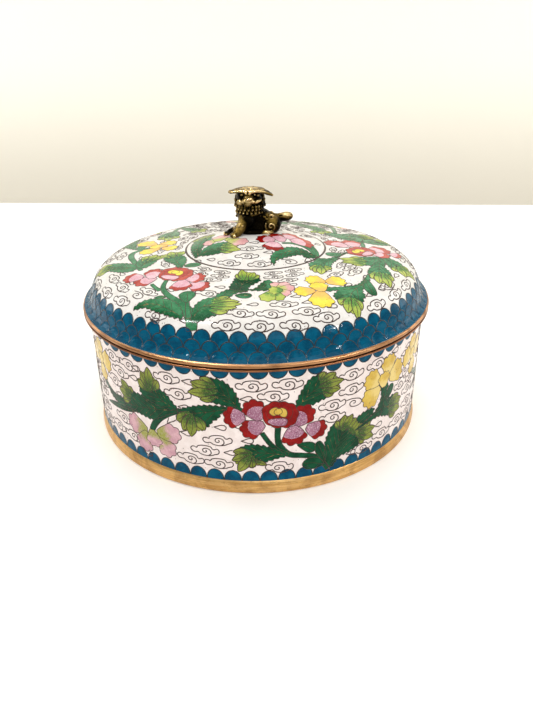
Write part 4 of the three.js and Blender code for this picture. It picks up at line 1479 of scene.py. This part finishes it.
def wall_cloud_places():
    """Clouds in staggered rows round the body; the listed ones come first."""
    set_by_hand = [(-65, 57, 0), (-72.5, 50.8, 0), (-78, 57, 1), (-42, 57, 0), (-36.8, 50, 0),
        (-3, 57.3, 0), (12.7, 57.5, 0), (6.3, 52, 0), (43, 56.4, 0), (43.5, 48.8, 0),
        (33.7, 43.2, 0), (45.4, 41.6, 4), (34, 36.8, 0), (-19, 28.5, 0), (-25.3, 22.2, 0),
        (-32.8, 16.3, 0), (-19, 15.8, 0), (9, 14.2, 2), (-75, 24.2, 0), (-68, 16.8, 0),
        (-81, 17, 0), (58.5, 57.2, 0), (80, 54.3, 0), (-60, 57, 3), (76, 43, 0), (80, 38, 2),
        (65.5, 16.3, 0), (79, 17.3, 0), (-31.5, 57.2, 3), (-62.5, 51.3, 3), (-41.4, 35.6, 3),
        (-17.5, 35.7, 3), (-5.5, 51, 3), (-5.5, 29.2, 3), (-13.6, 22.4, 3), (62.5, 22.5, 3),
        (71, 59.6, 3), (-97, 31, 0), (-96, 23, 0), (-94, 15.4, 0), (-79, 44, 0), (-46, 21, 3),
        (-30, 36, 3), (45, 13.6, 3), (52, 13.4, 0), (26, 32, 3), (-58, 10.9, 3), (16, 31.6, 3)]
    generator = np.random.default_rng(5)
    places = []
    large_drop = (-41.4, 35.6)
    for x, y, design in set_by_hand:
        size = 1.35 if (x, y) == large_drop else 1.0
        turn = math.radians(48) if size > 1 else generator.normal(0, 0.04)
        places.append((x, y, turn, size, size, design))
    pitch, stagger, room_across, room_up = 16.9, 8.4, 14.5, 5.9
    for row, y in enumerate((57, 50.4, 43.6, 36.8, 30, 23, 16)):
        first, last = UNIT_FIRST + 3 + (row % 2) * stagger, UNIT_FIRST + WALL_UNIT - 6
        for x in np.arange(first, last, pitch):
            clear = min(((x - p[0]) / room_across) ** 2 + ((y - p[1]) / room_up) ** 2
                        for p in places if p[5] != A_DROP)
            if clear > 1:
                turn = generator.normal(0, 0.05)
                places.append((x, y, turn, 1.0, 1.0, generator.choice(COMMON_CLOUDS)))
    between_the_stems = (-0.6, 30)
    places = [place for place in places if math.dist(place[:2], between_the_stems) > 1]
    return [(x + third * WALL_UNIT, *rest) for third in THIRDS for x, *rest in places]


def crown_cloud_places():
    """Clouds along the lid's circles, smaller towards the ring; the listed ones come first."""
    set_by_hand = [(-7.5, -77.5, 0), (6, -78.5, 0), (21.5, -76, 0), (30.4, -78, 0), (16, -83.8, 0),
        (1, -84.8, 0), (12, -71.5, 0), (-13.4, -83.4, 0), (55, -64, 0), (66, -52, 0),
        (74, -39.5, 0), (69, -35, 4), (48.6, -35.6, 0), (-2, -71.5, 3), (33, -71.5, 3),
        (22, -69.4, 3), (58.6, -51, 3), (-63.4, -54.4, 0), (-64, -44, 0), (-73, -42, 0),
        (-70.4, -32, 0), (-55, -54.6, 4), (-50, -53, 0), (-22, -60, 0), (-17, -54.6, 0),
        (-46, -73.6, 3), (-81, -28, 0)]
    boss = [(-4.5, -26.4, 0), (-13.4, -30.6, 0), (1.8, -33.2, 0), (16.8, -29.4, 4),
        (-22.8, -24.6, 3), (6, -23.2, 3), (-2, -19.6, 1), (-1, -13.4, 0), (-30, -22.6, 3),
        (26, -25.4, 3), (12, 12, 0), (-10, 14, 1), (2, 24, 0), (20, 22, 1), (-18, 26, 0),
        (28, 10, 0), (8, 31, 1), (-8, 32.6, 0), (33, -2, 3), (22, 13, 3)]
    generator = np.random.default_rng(8)
    places = []
    for x, y, design in set_by_hand + boss:
        outer = math.hypot(x, y) > 36
        angle, size = math.atan2(x, -y) * (1.0 if outer else 0.55), 0.92 if outer else 0.86
        places.append((x, y, angle + generator.normal(0, 0.05), size, size, design))
    pitch, room_across, room_out, full_size, full_reach = 16.2, 13.8, 5.0, 0.92, 70
    for reach in (84.2, 78.4, 72.6, 66.8, 61.2, 56.0, 51.2, 46.6, 42.0):
        size = full_size if reach > full_reach else 0.62 + 0.30 * (reach - 40) / 30
        step = pitch * size / reach
        for angle in np.arange(generator.uniform(0, step), 2 * math.pi - step * 0.6, step):
            x, y = reach * math.sin(angle), -reach * math.cos(angle)
            near = False
            for p in places:
                apart_x, apart_y = x - p[0], y - p[1]
                along = apart_x * math.cos(angle) + apart_y * math.sin(angle)
                out = apart_y * math.cos(angle) - apart_x * math.sin(angle)
                close = math.hypot(along / room_across, out / room_out) < size
                near = near or (close and p[5] != A_DROP)
            if not near:
                turn = angle + generator.normal(0, 0.06)
                places.append((x, y, turn, size, size, generator.choice(COMMON_CLOUDS)))
    return places


turning = turning_tree()
shells(turning)
designs = cloud_designs()
cloud_wires = cloud_tree()
row_of_scales = scale_tree()

for shell, sprigs, places, wrap in (("body", wall_sprigs, wall_cloud_places(), wrap_wall),
                                    ("lid", crown_sprigs, crown_cloud_places(), wrap_crown)):
    enamels = shell + "_enamel"
    cells, mask = flowers(shell + "_flowers", sprigs, wrap)
    settle(cells, enamels)
    for piece in fences(shell + "_flower", sprigs, wrap):
        settle(piece, enamels)
    settle(clouds(shell + "_clouds", cloud_wires, designs, uncovered(places, sprigs), mask, wrap),
           enamels)

def wrap_hanging(flat):
    """The body's wall with the row turned upside down, to hang from the mouth."""
    return wrap_wall(np.column_stack([-flat[:, 0], BODY_TOP - 0.5 - flat[:, 1], flat[:, 2]]))


SCALES = 67
scale_round = WALL_ROUND / SCALES * 0.99
dome = scale_design("dome_scale", scale_round, 5.3, 0.6)
hanging = scale_design("hanging_scale", scale_round, 4.2, 0.5)
settle(scale_rows("body_foot_scales", row_of_scales, dome, SCALES, [(FOOT_TOP + 0.6, 0.0, 0.03)],
                  WALL_ROUND, wrap_wall), "body_enamel")
settle(scale_rows("body_mouth_scales", row_of_scales, hanging, SCALES, [(0.0, 0.47, 0.03)],
                  WALL_ROUND, wrap_hanging), "body_enamel")

LID_SCALES = 68
SCALE_RISE = 4.0
rim_round = 2 * math.pi * RIM_R
lid_scale = scale_design("lid_scale", rim_round / LID_SCALES * 0.985, SCALE_RISE, 4.8)
lid_rows = [(LID_REACH - reach - SCALE_RISE, offset, lift)
            for reach, offset, lift in ((86.9, 0.0, 0.10), (91.4, 0.5, 0.14), (95.4, 0.0, 0.18))]
settle(scale_rows("lid_scales", row_of_scales, lid_scale, LID_SCALES, lid_rows, rim_round,
                  wrap_skirt), "lid_enamel")

ring_angles = np.linspace(0, 2 * math.pi, 361)
ring_line = BOSS_REACH * np.stack([np.sin(ring_angles), -np.cos(ring_angles)], -1)
settle(ribbons("lid_ring_wire", [(ring_line, 1.05)], wrap_crown, WIRE, lift=0.06), "lid_enamel")


# ---- the cast lion ------------------------------------------------------------------------------
FAR = 4.0
SPREAD = 2.4


class Clay:
    """A block of distances to a surface, built up from lumps and limbs and pared with cuts."""

    def __init__(self, low, high, pitch):
        self.low, self.pitch = np.array(low, float), pitch
        self.counts = np.ceil((np.array(high) - self.low) / pitch).astype(int) + 1
        self.field = np.full(self.counts, FAR)

    def around(self, low, high):
        """The part of the block between two corners: its slices and its points."""
        first = np.clip(np.floor((low - self.low) / self.pitch).astype(int), 0, self.counts)
        last = np.clip(np.ceil((high - self.low) / self.pitch).astype(int) + 1, 0, self.counts)
        axes = [self.low[k] + np.arange(first[k], last[k]) * self.pitch for k in range(3)]
        part = tuple(slice(a, b) for a, b in zip(first, last))
        return part, np.stack(np.meshgrid(*axes, indexing="ij"), -1)

    def merge(self, part, distance, blend, cut):
        """Blends a shape in, or cuts it out, with a soft join."""
        here = self.field[part]
        other = -distance if cut else distance
        near = np.maximum(blend - np.abs(here - other), 0) / blend
        pick, way = (np.maximum, 1) if cut else (np.minimum, -1)
        self.field[part] = pick(here, other) + way * near ** 2 * blend / 4

    def lump(self, centre, half, turns=(0, 0, 0), blend=0.7, cut=False):
        """An egg-shaped lump of half sizes, turned by degrees about its own ways."""
        centre, half = np.array(centre, float), np.array(half, float)
        reach = half.max() + SPREAD
        part, points = self.around(centre - reach, centre + reach)
        turn = np.array(Matrix.Rotation(math.radians(turns[2]), 3, "Z")
                        @ Matrix.Rotation(math.radians(turns[1]), 3, "Y")
                        @ Matrix.Rotation(math.radians(turns[0]), 3, "X"))
        local = (points - centre) @ turn
        scaled = np.linalg.norm(local / half, axis=-1)
        steep = np.maximum(np.linalg.norm(local / half ** 2, axis=-1), 1e-6)
        self.merge(part, scaled * (scaled - 1) / steep, blend, cut)

    def lumps(self, *rows, blend=0.7, cut=False):
        """Each row is a lump's centre, its half sizes, and how it is turned if it is."""
        for row in rows:
            self.lump(*row, blend=blend, cut=cut)

    def limb(self, start, end, thick, slim, blend=0.7, cut=False):
        """A round bar from one place to another, thinning on its way."""
        start, end = np.array(start, float), np.array(end, float)
        reach = max(thick, slim) + SPREAD
        part, points = self.around(np.minimum(start, end) - reach, np.maximum(start, end) + reach)
        along = end - start
        share = np.clip((points - start) @ along / (along @ along), 0, 1)
        gap = np.linalg.norm(points - start - share[..., None] * along, axis=-1)
        self.merge(part, gap - (thick + (slim - thick) * share), blend, cut)

    def path(self, points, thick, slim, blend=0.3, cut=False):
        """A rope of limbs through many points."""
        sizes = np.linspace(thick, slim, len(points))
        for a, b, big, small in zip(points, points[1:], sizes, sizes[1:]):
            self.limb(a, b, big, small, blend, cut)

    def softened(self, width):
        """The block averaged over a width in steps, along each way in turn."""
        field, steps = self.field, range(-width, width + 1)
        for axis in range(3):
            field = sum(np.roll(field, step, axis) for step in steps) / len(steps)
        return field

    def skin(self, name, material, rubbed):
        """The surface, with a mark of how far each point stands out, of rubs, and of painted light
        and shade.
        """
        proud = self.softened(3) - self.field
        grid = openvdb.FloatGrid(FAR)
        grid.copyFromArray(self.field)
        points, faces = grid.convertToQuads(0.0)
        near = np.clip(np.rint(points).astype(int), 0, self.counts - 1)
        wear = proud[near[:, 0], near[:, 1], near[:, 2]].astype(np.float32)
        points = points * self.pitch + self.low
        for centre, reach, amount in rubbed:
            wear += amount * np.exp(-(((points - centre) / reach) ** 2).sum(1)).astype(np.float32)
        piece = mesh_object(name, points, faces.tolist(), [material])
        mark_points(piece, "wear", wear)
        return piece


def lock_ring(clay, centre, reach, height, count, size, bare=None, lean=0.0):
    """A tier of short hanging locks round the neck; bare is a span of degrees left without."""
    for angle in np.arange(count) * 360 / count + lean:
        if bare and bare[0] < angle % 360 < bare[1]:
            continue
        way = np.array([math.cos(math.radians(angle)), math.sin(math.radians(angle)), 0.0])
        root = np.array([centre[0], centre[1], height]) + way * (reach[0], reach[1], 0)
        clay.lump(root, (size * 0.80, size * 0.80, size * 1.5), blend=0.2)
        clay.lump(root + way * size * 0.5 - (0, 0, size * 1.05), (size * 0.66,) * 3, blend=0.15)
        clay.lump(root + way * size * 0.95 + (0, 0, size * 0.1), (0.3, 0.3, 0.5), blend=0.15,
                  cut=True)


def spiral(centre, reach, half, turns, side, tilt=0.0):
    """A curl on the side of a lump: points winding in, held on its rounded face."""
    points = []
    for share in np.linspace(0, 1, 26):
        turn, radius = math.radians(turns * 360 * share + tilt), reach * (1 - 0.85 * share)
        across, up = radius * math.cos(turn), radius * math.sin(turn)
        bulge = half[1] * math.sqrt(max(1 - (across / half[0]) ** 2 - (up / half[2]) ** 2, 0.03))
        points.append((centre[0] + across, centre[1] + side * bulge, centre[2] + up))
    return points


def sculpt_lion(material):
    """The lion that lies on the lid: broad curled brow, sunk eyes, tiers of locks, a leafy tail."""
    low, high = (np.array(end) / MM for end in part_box("lion_finial"))
    clay = Clay(low - 1.0, high + 1.0, 0.21)
    lion_trunk(clay)
    lion_face(clay)
    lion_brow(clay)
    lion_legs(clay)
    lion_back(clay)
    # it sits on the boss
    part, points = clay.around(clay.low, high + 1.0)
    seat = boss_height(np.hypot(points[..., 0], points[..., 1])) + 0.16
    clay.merge(part, points[..., 2] - seat, 0.2, True)
    return clay.skin("lion", material, RUBS_HIGHLIGHTS_AND_PAINTED_SHADE)


def lion_trunk(clay):
    """Trunk, neck and head, the tiers of locks round them, and the collar with its bell."""
    # the belly and a low skirt under it (third and fourth rows) fill the gap between the legs down to
    # the lid, where painted shade makes them black
    for centre, half, turns, blend in (
            ((2.8, 6.4, 104.6), (8.6, 5, 4), (0, 14, 0), 1.4),
            ((4.6, 6.2, 107.6), (4.2, 4, 2.4), (0, 24, 0), 1.2),
            ((0.6, 5.6, 101), (6.4, 5.6, 4.6), UNTURNED, 1.2),
            ((-0.2, 1.7, 98.9), (7.4, 4.6, 2.3), (0, 3, 6), 0.9),
            ((9.8, 7, 102.8), (4.4, 5.5, 4.2), UNTURNED, 1.4),
            ((-3.2, 4.8, 107.4), (6.2, 5.2, 5.4), UNTURNED, 1.6),
            ((-6.2, 2.2, 107.4), (2.7, 3, 3.6), UNTURNED, 1),
            ((-2.4, 5.4, 112.6), (7, 5.8, 7), UNTURNED, 1.6),
            ((-2.8, 3.2, 117.2), (6.8, 5.2, 4.6), UNTURNED, 1)):
        clay.lump(centre, half, turns, blend)
    # the mane behind, and the beard in front
    for centre, reach, height, count, size, bare, lean in (
            ((-2.6, 5.2), (6.9, 5.7), 116.4, 19, 1.15, (196, 336), 0),
            ((-2.5, 5), (7.2, 5.9), 113.6, 20, 1.10, (214, 322), 8),
            ((-2.6, 4.6), (6.5, 6.1), 112, 22, 0.86, (-1, 206), 3),
            ((-2.6, 4.7), (6.7, 5.8), 110.2, 21, 0.92, None, 2),
            ((-2.6, 5.2), (6.6, 5.4), 107.6, 17, 0.98, (186, 341), 9)):
        lock_ring(clay, centre, reach, height, count, size, bare, lean)
    collar = [(-2.9 + 6.5 * math.cos(a), 4.7 + 5.5 * math.sin(a),
               108.5 + 0.5 * math.sin(a) + 0.6 * math.cos(a))
              for a in np.linspace(math.pi, 2 * math.pi, 22)]
    clay.path(collar, 0.46, 0.46, 0.15)
    clay.lump((-4.9, -1.1, 106.9), (1.25, 1.1, 1.5), blend=0.2)
    clay.limb((-5.7, -2.1, 106.5), (-4.1, -2.1, 106.5), 0.24, 0.24, 0.1, cut=True)


def lion_face(clay):
    """Bridge, muzzle, nose, jaw and cheeks, and the eyes deep under the brow."""
    clay.lump((-3.2, -1.6, 117.7), (2.5, 2.4, 1.9), blend=0.5)
    clay.lumps(((-3.4, -2.5, 116), (3.3, 2.5, 1.9)), ((-3.7, -2.9, 114.6), (2.1, 2, 1.6)),
        blend=0.4)
    clay.lump((-2.9, -4.4, 117.2), (1.75, 1.1, 0.85), (0, -16, 0), 0.25)
    clay.lumps(((-5.5, -3.6, 115.9), (1.3, 1.1, 0.95), (0, -30, 0)),
        ((-1.2, -3.5, 116), (1.4, 1.1, 0.95), (0, 30, 0)), blend=0.2)
    clay.lumps(((-7.4, -1, 115), (1.9, 1.7, 1.7), (0, 24, 0)),
        ((1, -1.7, 115.5), (2.7, 1.6, 1.05), (0, -22, 0)), blend=0.3)
    clay.path([(-6.9, -2.4, 116.2), (-5.6, -4.2, 114.5), (-3.8, -5, 113.4), (-2, -4.1, 114.2),
        (-0.4, -3, 116.3)], 0.3, 0.34, 0.15, cut=True)
    clay.path([(-8.4, -1.5, 113.5), (-6, -3.1, 112.9), (-3.6, -3.9, 112.7), (-1, -3.3, 113.3),
        (2, -1.9, 114)], 0.55, 0.5, 0.2, cut=True)
    clay.lumps(*(((-3.0 + side * 0.75, -5.5, 116.9), (0.3, 0.4, 0.3)) for side in BOTH_SIDES),
        blend=0.1, cut=True)
    clay.lumps(((-7.1, -1.7, 118.8), (2, 2.4, 1.45), (0, 6, 0)),
        ((1.2, -1.5, 118.6), (2.3, 2.4, 1.5), (0, 8, 0)),
        ((4.2, 1, 118), (1.7, 2.6, 1.4), (0, 14, 0)), blend=0.2, cut=True)
    clay.lumps(((-6.5, -0.9, 118.9), (0.95, 1, 0.85)), ((1.7, -0.8, 118.5), (0.95, 1, 0.85)),
        ((0, -1.6, 118.9), (0.5, 0.7, 0.5)), blend=0.1)


def lion_brow(clay):
    """A broad thin plate running out into the ears, rolled over in front and set with curls."""
    clay.lump((-2.6, 2.2, 120.9), (7.9, 5.8, 0.95), blend=0.3)
    clay.lumps(((-9, 1.6, 120.3), (4.5, 3.2, 0.95), (0, -6, 12)),
        ((4.9, 1.8, 119.8), (4.9, 3.3, 0.95), (0, 22, -10)), blend=0.4)
    clay.lump((-12.2, 0.8, 120), (1.3, 1.3, 1), blend=0.3)
    clay.path([(-12.4, -0.4, 119.9), (-10, -1.3, 120.4), (-7.6, -2.3, 120.8),
        (-5.6, -3.2, 120.9), (-4.4, -3.9, 120.7), (-4.1, -4.1, 120)], 0.62, 0.7, 0.25)
    clay.path([(9, 0.2, 118.2), (7, -0.8, 119.2), (4.6, -1.9, 120.2), (2, -2.9, 120.8),
        (-0.4, -3.8, 121), (-2.2, -4.3, 120.7), (-2.6, -4.3, 120.1)], 0.6, 0.85, 0.25)
    clay.lump((-3.4, -4.4, 120.6), (0.42, 1.5, 1.4), (0, 16, 0), 0.15, cut=True)
    for x, y, z, size in (
            (-6.8, -0.6, 121.3, 0.9), (-4.4, -1.4, 121.5, 0.9), (-1.6, -1.6, 121.6, 0.95),
            (1.2, -0.8, 121.3, 0.9), (3.8, 0.4, 120.9, 0.8), (-9.4, 0.6, 120.8, 0.8),
            (-5.4, 1.9, 121.6, 0.95), (-2.6, 1.5, 121.7, 0.9), (0.4, 2, 121.6, 0.95),
            (-3.8, 4.8, 121.5, 0.9), (-0.9, 5, 121.5, 0.9), (6.6, 1.6, 120, 0.8)):
        clay.lump((x, y, z), (size, size * 0.9, size * 0.5), blend=0.2)
        clay.lump((x + size * 0.2, y - size * 0.3, z + size * 0.5), (0.3, 0.36, 0.3), blend=0.1,
                  cut=True)


def lion_legs(clay):
    """Forelegs with paws and toes, and haunches with raised curls and feet beneath."""
    for shoulder, girth, paw, flat in (((-5.2, 0.6, 104.8), 3.3, (-10.2, -3.4, 98.9), 1.8),
                                       ((-6.6, 6, 100.6), 1.8, (-14.4, 3.2, 98), 1.15)):
        shoulder, paw = np.array(shoulder), np.array(paw)
        clay.lump(shoulder + (0.5, 0, 0), (girth + 0.9, girth, girth + 0.6), (0, 20, 0), 0.9)
        clay.limb(shoulder, paw + (0.9, 0.5, 0.9), girth, girth * 0.72, 0.9)
        clay.lump(paw, (2.9, 2.3, flat), (0, 0, 25), 0.5)
        ahead, across = np.array([-0.72, -0.55, 0]), np.array([0.55, -0.72, 0])
        for step in (-1.5, -0.5, 0.5, 1.5):
            toe = paw + ahead * 1.9 + across * step - (0, 0, 0.3)
            clay.lump(toe, (0.95, 0.62, 0.62 * flat), (0, 0, 35), 0.15)
        elbow = shoulder * 0.5 + paw * 0.5
        clay.limb(elbow + (1.4, -2.3, 1.8), elbow + (-0.6, -2.1, -1.2), 0.4, 0.3, 0.3)
        clay.limb(elbow + (-0.5, -2.6, 2), elbow + (-1.9, -1.4, -0.8), 0.42, 0.3, 0.3)
    for y, side in ((3.2, -1), (10.2, 1)):
        hip, half = np.array([8.6, y, 102]), (4.8, 3, 4.6)
        clay.lump(hip, half, (side * 8, 0, 0), 0.8)
        clay.path(spiral(hip - (0.4, 0, 0.2), 3, half, 1.3, side, 150), 0.5, 0.34, 0.2)
        crease = [hip + (back, side * out, up) for back, out, up in (
            (-4.4, 1.3, 0.6), (-2.6, 1.9, 3.6), (0.8, 1.6, 4.4), (3.6, 1, 3.2))]
        clay.path(crease, 0.3, 0.3, 0.15, cut=True)
        foot = np.array([6.2, 5.9 + side * 5.7, 98.9])
        clay.lump(foot, (3.4, 1.8, 1.4), blend=0.4)
        clay.lumps(*((foot + (-2.9 + step * 0.4, side * (1.0 - step * 0.6), 0.2), (0.95, 0.55, 0.8))
                     for step in (0, 1, 2)), blend=0.15)


def lion_back(clay):
    """Curls on the rump, locks on the flank, knobs down the spine, and the leaf of a tail."""
    for side in BOTH_SIDES:
        clay.path([(8.4 + 1.3 * math.cos(a), 6.4 + side * (3.1 + 0.5 * math.sin(a)),
                    106.2 + 1.1 * math.sin(a)) for a in np.linspace(-0.6, 5, 14)],
                  0.45, 0.36, 0.2)
        clay.lump((8.4, 6.4 + side * 3.6, 106.2), (0.55, 0.8, 0.45), blend=0.15, cut=True)
        for x, z, turn in ((2.4, 107.4, 40), (4.8, 106.6, 30), (1.4, 105.2, 50),
                           (4, 104.6, 35), (6.2, 105.4, 20)):
            clay.lump((x, 6.4 + side * 4.1, z), (1.25, 0.8, 0.6), (0, turn, 0), 0.2)
    for share in np.linspace(0, 1, 7):
        clay.lump((4.2 + 7.2 * share, 6.6, 109.3 - 3.0 * share), (0.8, 0.9, 0.7), blend=0.25)
    clay.limb((10.2, 7.2, 104.2), (14.6, 7.7, 105.2), 2.6, 2, 1)
    clay.lump((16.2, 7.7, 105.2), (4, 2.5, 2.5), (0, -8, 0), 0.6)
    clay.limb((13, 7, 106.6), (19, 7.4, 106.9), 0.8, 0.5, 0.2)
    for y, drop in ((5.9, 0), (8.8, -0.6), (5, 1.5), (10.2, 1.5)):
        clay.limb((12.4, y, 106.0 - drop), (19.6, y * 0.6 + 3.1, 106.5 - drop), 0.36, 0.26, 0.15,
                  cut=True)


UNTURNED = (0, 0, 0)
BOTH_SIDES = (-1, 1)
# places painted bright: rubbed wear on what stands out, with painted highlight on the eyes, muzzle
# and foreleg;
# below nought, painted shade in the eye hollows, under the jaw, mane, tail and haunch, round the far
# paw and between the legs
RUBS_HIGHLIGHTS_AND_PAINTED_SHADE = [((-2.6, 0.5, 122), (11.5, 7, 2.2), 0.33),
    ((-3, -4.2, 120.6), (4, 1.4, 1), 0.20), ((-6.5, -1.6, 118.9), (1.1, 1, 0.9), 0.24),
    ((1.7, -1.5, 118.5), (1.1, 1, 0.9), 0.26), ((-3.2, -4.2, 116.6), (2.6, 2, 2.2), 0.34),
    ((-7.6, -2.4, 115.2), (1.8, 1.8, 1.8), 0.24), ((1.4, -3, 115.8), (2.6, 1.8, 1.4), 0.24),
    ((-7.8, -1.8, 102.6), (3, 3, 4.8), 0.24), ((16.4, 7.2, 107.2), (4.6, 3.4, 1.6), 0.20),
    ((5.6, -1, 99.4), (2.6, 2, 1.4), 0.28), ((8.4, 3.2, 106.4), (3.4, 2.6, 2), 0.16),
    ((-2.6, -1.2, 106), (2.4, 1.8, 1.4), 0.14), ((8.4, 0.4, 102.6), (3.4, 2, 2.8), 0.08),
    ((-0.6, 0.2, 102.2), (3.6, 4.4, 4.6), -0.50), ((-0.6, -0.8, 98.6), (4.6, 3.4, 2.2), -0.50),
    ((-7.4, -0.8, 118.7), (2.2, 2.4, 1.5), -0.26), ((2.4, -0.4, 118.4), (3.6, 2.6, 1.6), -0.30),
    ((4.6, 2.6, 111.6), (2.4, 4.6, 5), -0.20), ((15.6, 7.6, 103.2), (4.8, 3.6, 1.4), -0.40),
    ((-13, 4, 98.4), (3.4, 3.4, 2.4), -0.26), ((13, 4.4, 101.4), (1.8, 4, 3.6), -0.30),
    ((-3.6, -3.4, 112.4), (5, 2, 1), -0.24), ((-4.6, -1, 106.8), (2.2, 2, 1.8), -0.24)]


def lion_brass():
    """Cast brass, black in its hollows and in painted shade, brown over most of it, and bright on
    what stands out and in painted highlights.
    """
    finish = Finish("dark_brass", metallic=1.0)
    wear = finish.attribute("wear")
    cloudy = finish.noise(2.4, 4.0, warp=0.8) - 0.5
    fine = finish.noise(0.5, 3.0) - 0.5
    brown = finish.between(wear + cloudy * 0.12 + fine * 0.05, -0.04, 0.14)
    bright = finish.between(wear + cloudy * 0.18 + fine * 0.10, 0.13, 0.40)
    colour = finish.mixed(bright, finish.mixed(brown, (8, 6, 3), (102, 82, 37)), (228, 200, 144))
    finish.set("Base Color", colour)
    finish.set("Roughness", bright * -0.18 + fine * 0.2 + 0.42)
    finish.raised(finish.noise(0.8, 4.0), 0.30)
    return finish.material


settle(sculpt_lion(lion_brass()), "dark_brass", "lion_finial")


# ---- where it stands, and the light ---------------------------------------------------------
WALL_BEHIND = 0.491
WALL_SKEW = 0.249


def staged(name, corners, tone, foot_tone, roughness=0.6, glow=0.0):
    """A plain sheet of the setting, faintly uneven in tone, in shade where it meets the table."""
    finish = Finish(name, roughness=roughness, emission_color=(1.0, 0.97, 0.92, 1.0),
                    emission_strength=glow)
    ways = finish.node("ShaderNodeSeparateXYZ", None, {"Vector": finish.place}).outputs
    shade = finish.between(Value(finish, ways["Z"]) + finish.noise(160.0, 2.0) * 0.01, 0.0, 0.20)
    finish.set("Base Color", finish.mixed(shade, foot_tone, tone))
    mesh_object(name, np.array(corners) / MM, [(0, 1, 2, 3)], [finish.material])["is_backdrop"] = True


def lamp(name, at, turn, size, power, tint=(1.0, 1.0, 1.0)):
    """A soft oblong lamp at a place, turned as given."""
    light = bpy.data.lights.new(name, "AREA")
    light.shape, light.size, light.size_y = "RECTANGLE", *size
    light.energy, light.color = power, tint
    holder = bpy.data.objects.new(name, light)
    holder.location, holder.rotation_euler = at, turn
    bpy.context.collection.objects.link(holder)
    return holder


def soft_lamp(name, at, aim, size, power, tint=(1.0, 1.0, 1.0)):
    """A large lamp, pointed at a place."""
    turn = (Vector(aim) - Vector(at)).to_track_quat("-Z", "Y").to_euler()
    lamp(name, at, turn, size, power, tint)


def strip_lamp(name, start, end, width, power):
    """A narrow lamp from one place to another that only shows as a gleam on polished surfaces."""
    start, end = Vector(start), Vector(end)
    middle, along = (start + end) / 2, (end - start).normalized()
    away = (middle - along * middle.dot(along)).normalized()
    turn = Matrix((along, away.cross(along), away)).transposed().to_euler()
    lamp(name, middle, turn, ((end - start).length, width), power).visible_diffuse = False


def setting():
    """A pale table before a pale wall, soft lamps, and the camera."""
    left, right = WALL_BEHIND + WALL_SKEW, WALL_BEHIND - WALL_SKEW
    staged("table_top", [(-3, -2, 0), (3, -2, 0), (3, right, 0), (-3, left, 0)],
           (250, 249, 247), (248, 246, 243), 0.5, 0.15)
    staged("back_wall", [(-3, left, -1), (3, right, -1), (3, right, 3), (-3, left, 3)],
           (255, 250, 236), (214, 208, 193), 0.8)
    soft_lamp("ceiling_light", (0.0, 0.0, 1.5), (0, 0, 0), (1.6, 1.4), 13)
    box_middle, window = (0, 0, 0.05), (0.3, 0.55)
    soft_lamp("window_left", (-0.85, 0.36, 0.36), box_middle, window, 1.5, (0.96, 0.98, 1.0))
    soft_lamp("window_right", (0.85, 0.30, 0.36), box_middle, window, 1.5, (1.0, 0.99, 0.97))
    soft_lamp("front_fill", (0.2, -1.5, 1.1), box_middle, (1.2, 0.9), 6.5)
    strip_lamp("glint_left", (-0.506, -0.205, 0.717), (-0.274, -0.257, 0.822), 0.03, 6)
    strip_lamp("glint_right", (0.58, -0.52, 0.46), (0.62, -0.44, 0.50), 0.05, 3)

    world = bpy.data.worlds.new("room")
    world.use_nodes = True
    room_light = world.node_tree.nodes["Background"].inputs
    room_light["Color"].default_value = (1, 1, 1, 1)
    room_light["Strength"].default_value = 0.52
    bpy.context.scene.world = world
    bpy.context.scene.view_settings.view_transform = "Standard"

    yaw, pitch, roll = math.radians(0.9368), math.radians(27.158), math.radians(-0.6604)
    flat = math.cos(pitch)
    ahead = Vector((math.sin(yaw) * flat, math.cos(yaw) * flat, -math.sin(pitch)))
    right = Vector((math.cos(yaw), -math.sin(yaw), 0))
    up = right.cross(ahead)
    level = right * math.cos(roll) + up * math.sin(roll)
    upright = up * math.cos(roll) - right * math.sin(roll)
    camera = bpy.data.objects.new("camera", bpy.data.cameras.new("camera"))
    stands_at = Matrix.Translation((0, -0.31142, 0.18614))
    camera.matrix_world = stands_at @ Matrix((level, upright, -ahead)).transposed().to_4x4()
    camera.data.sensor_width, camera.data.lens = 36.0, 30.595
    camera.data.clip_start = 0.01
    bpy.context.collection.objects.link(camera)
    bpy.context.scene.camera = camera


setting()

[[list(end) for end in box] for box in (cad_box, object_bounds())]
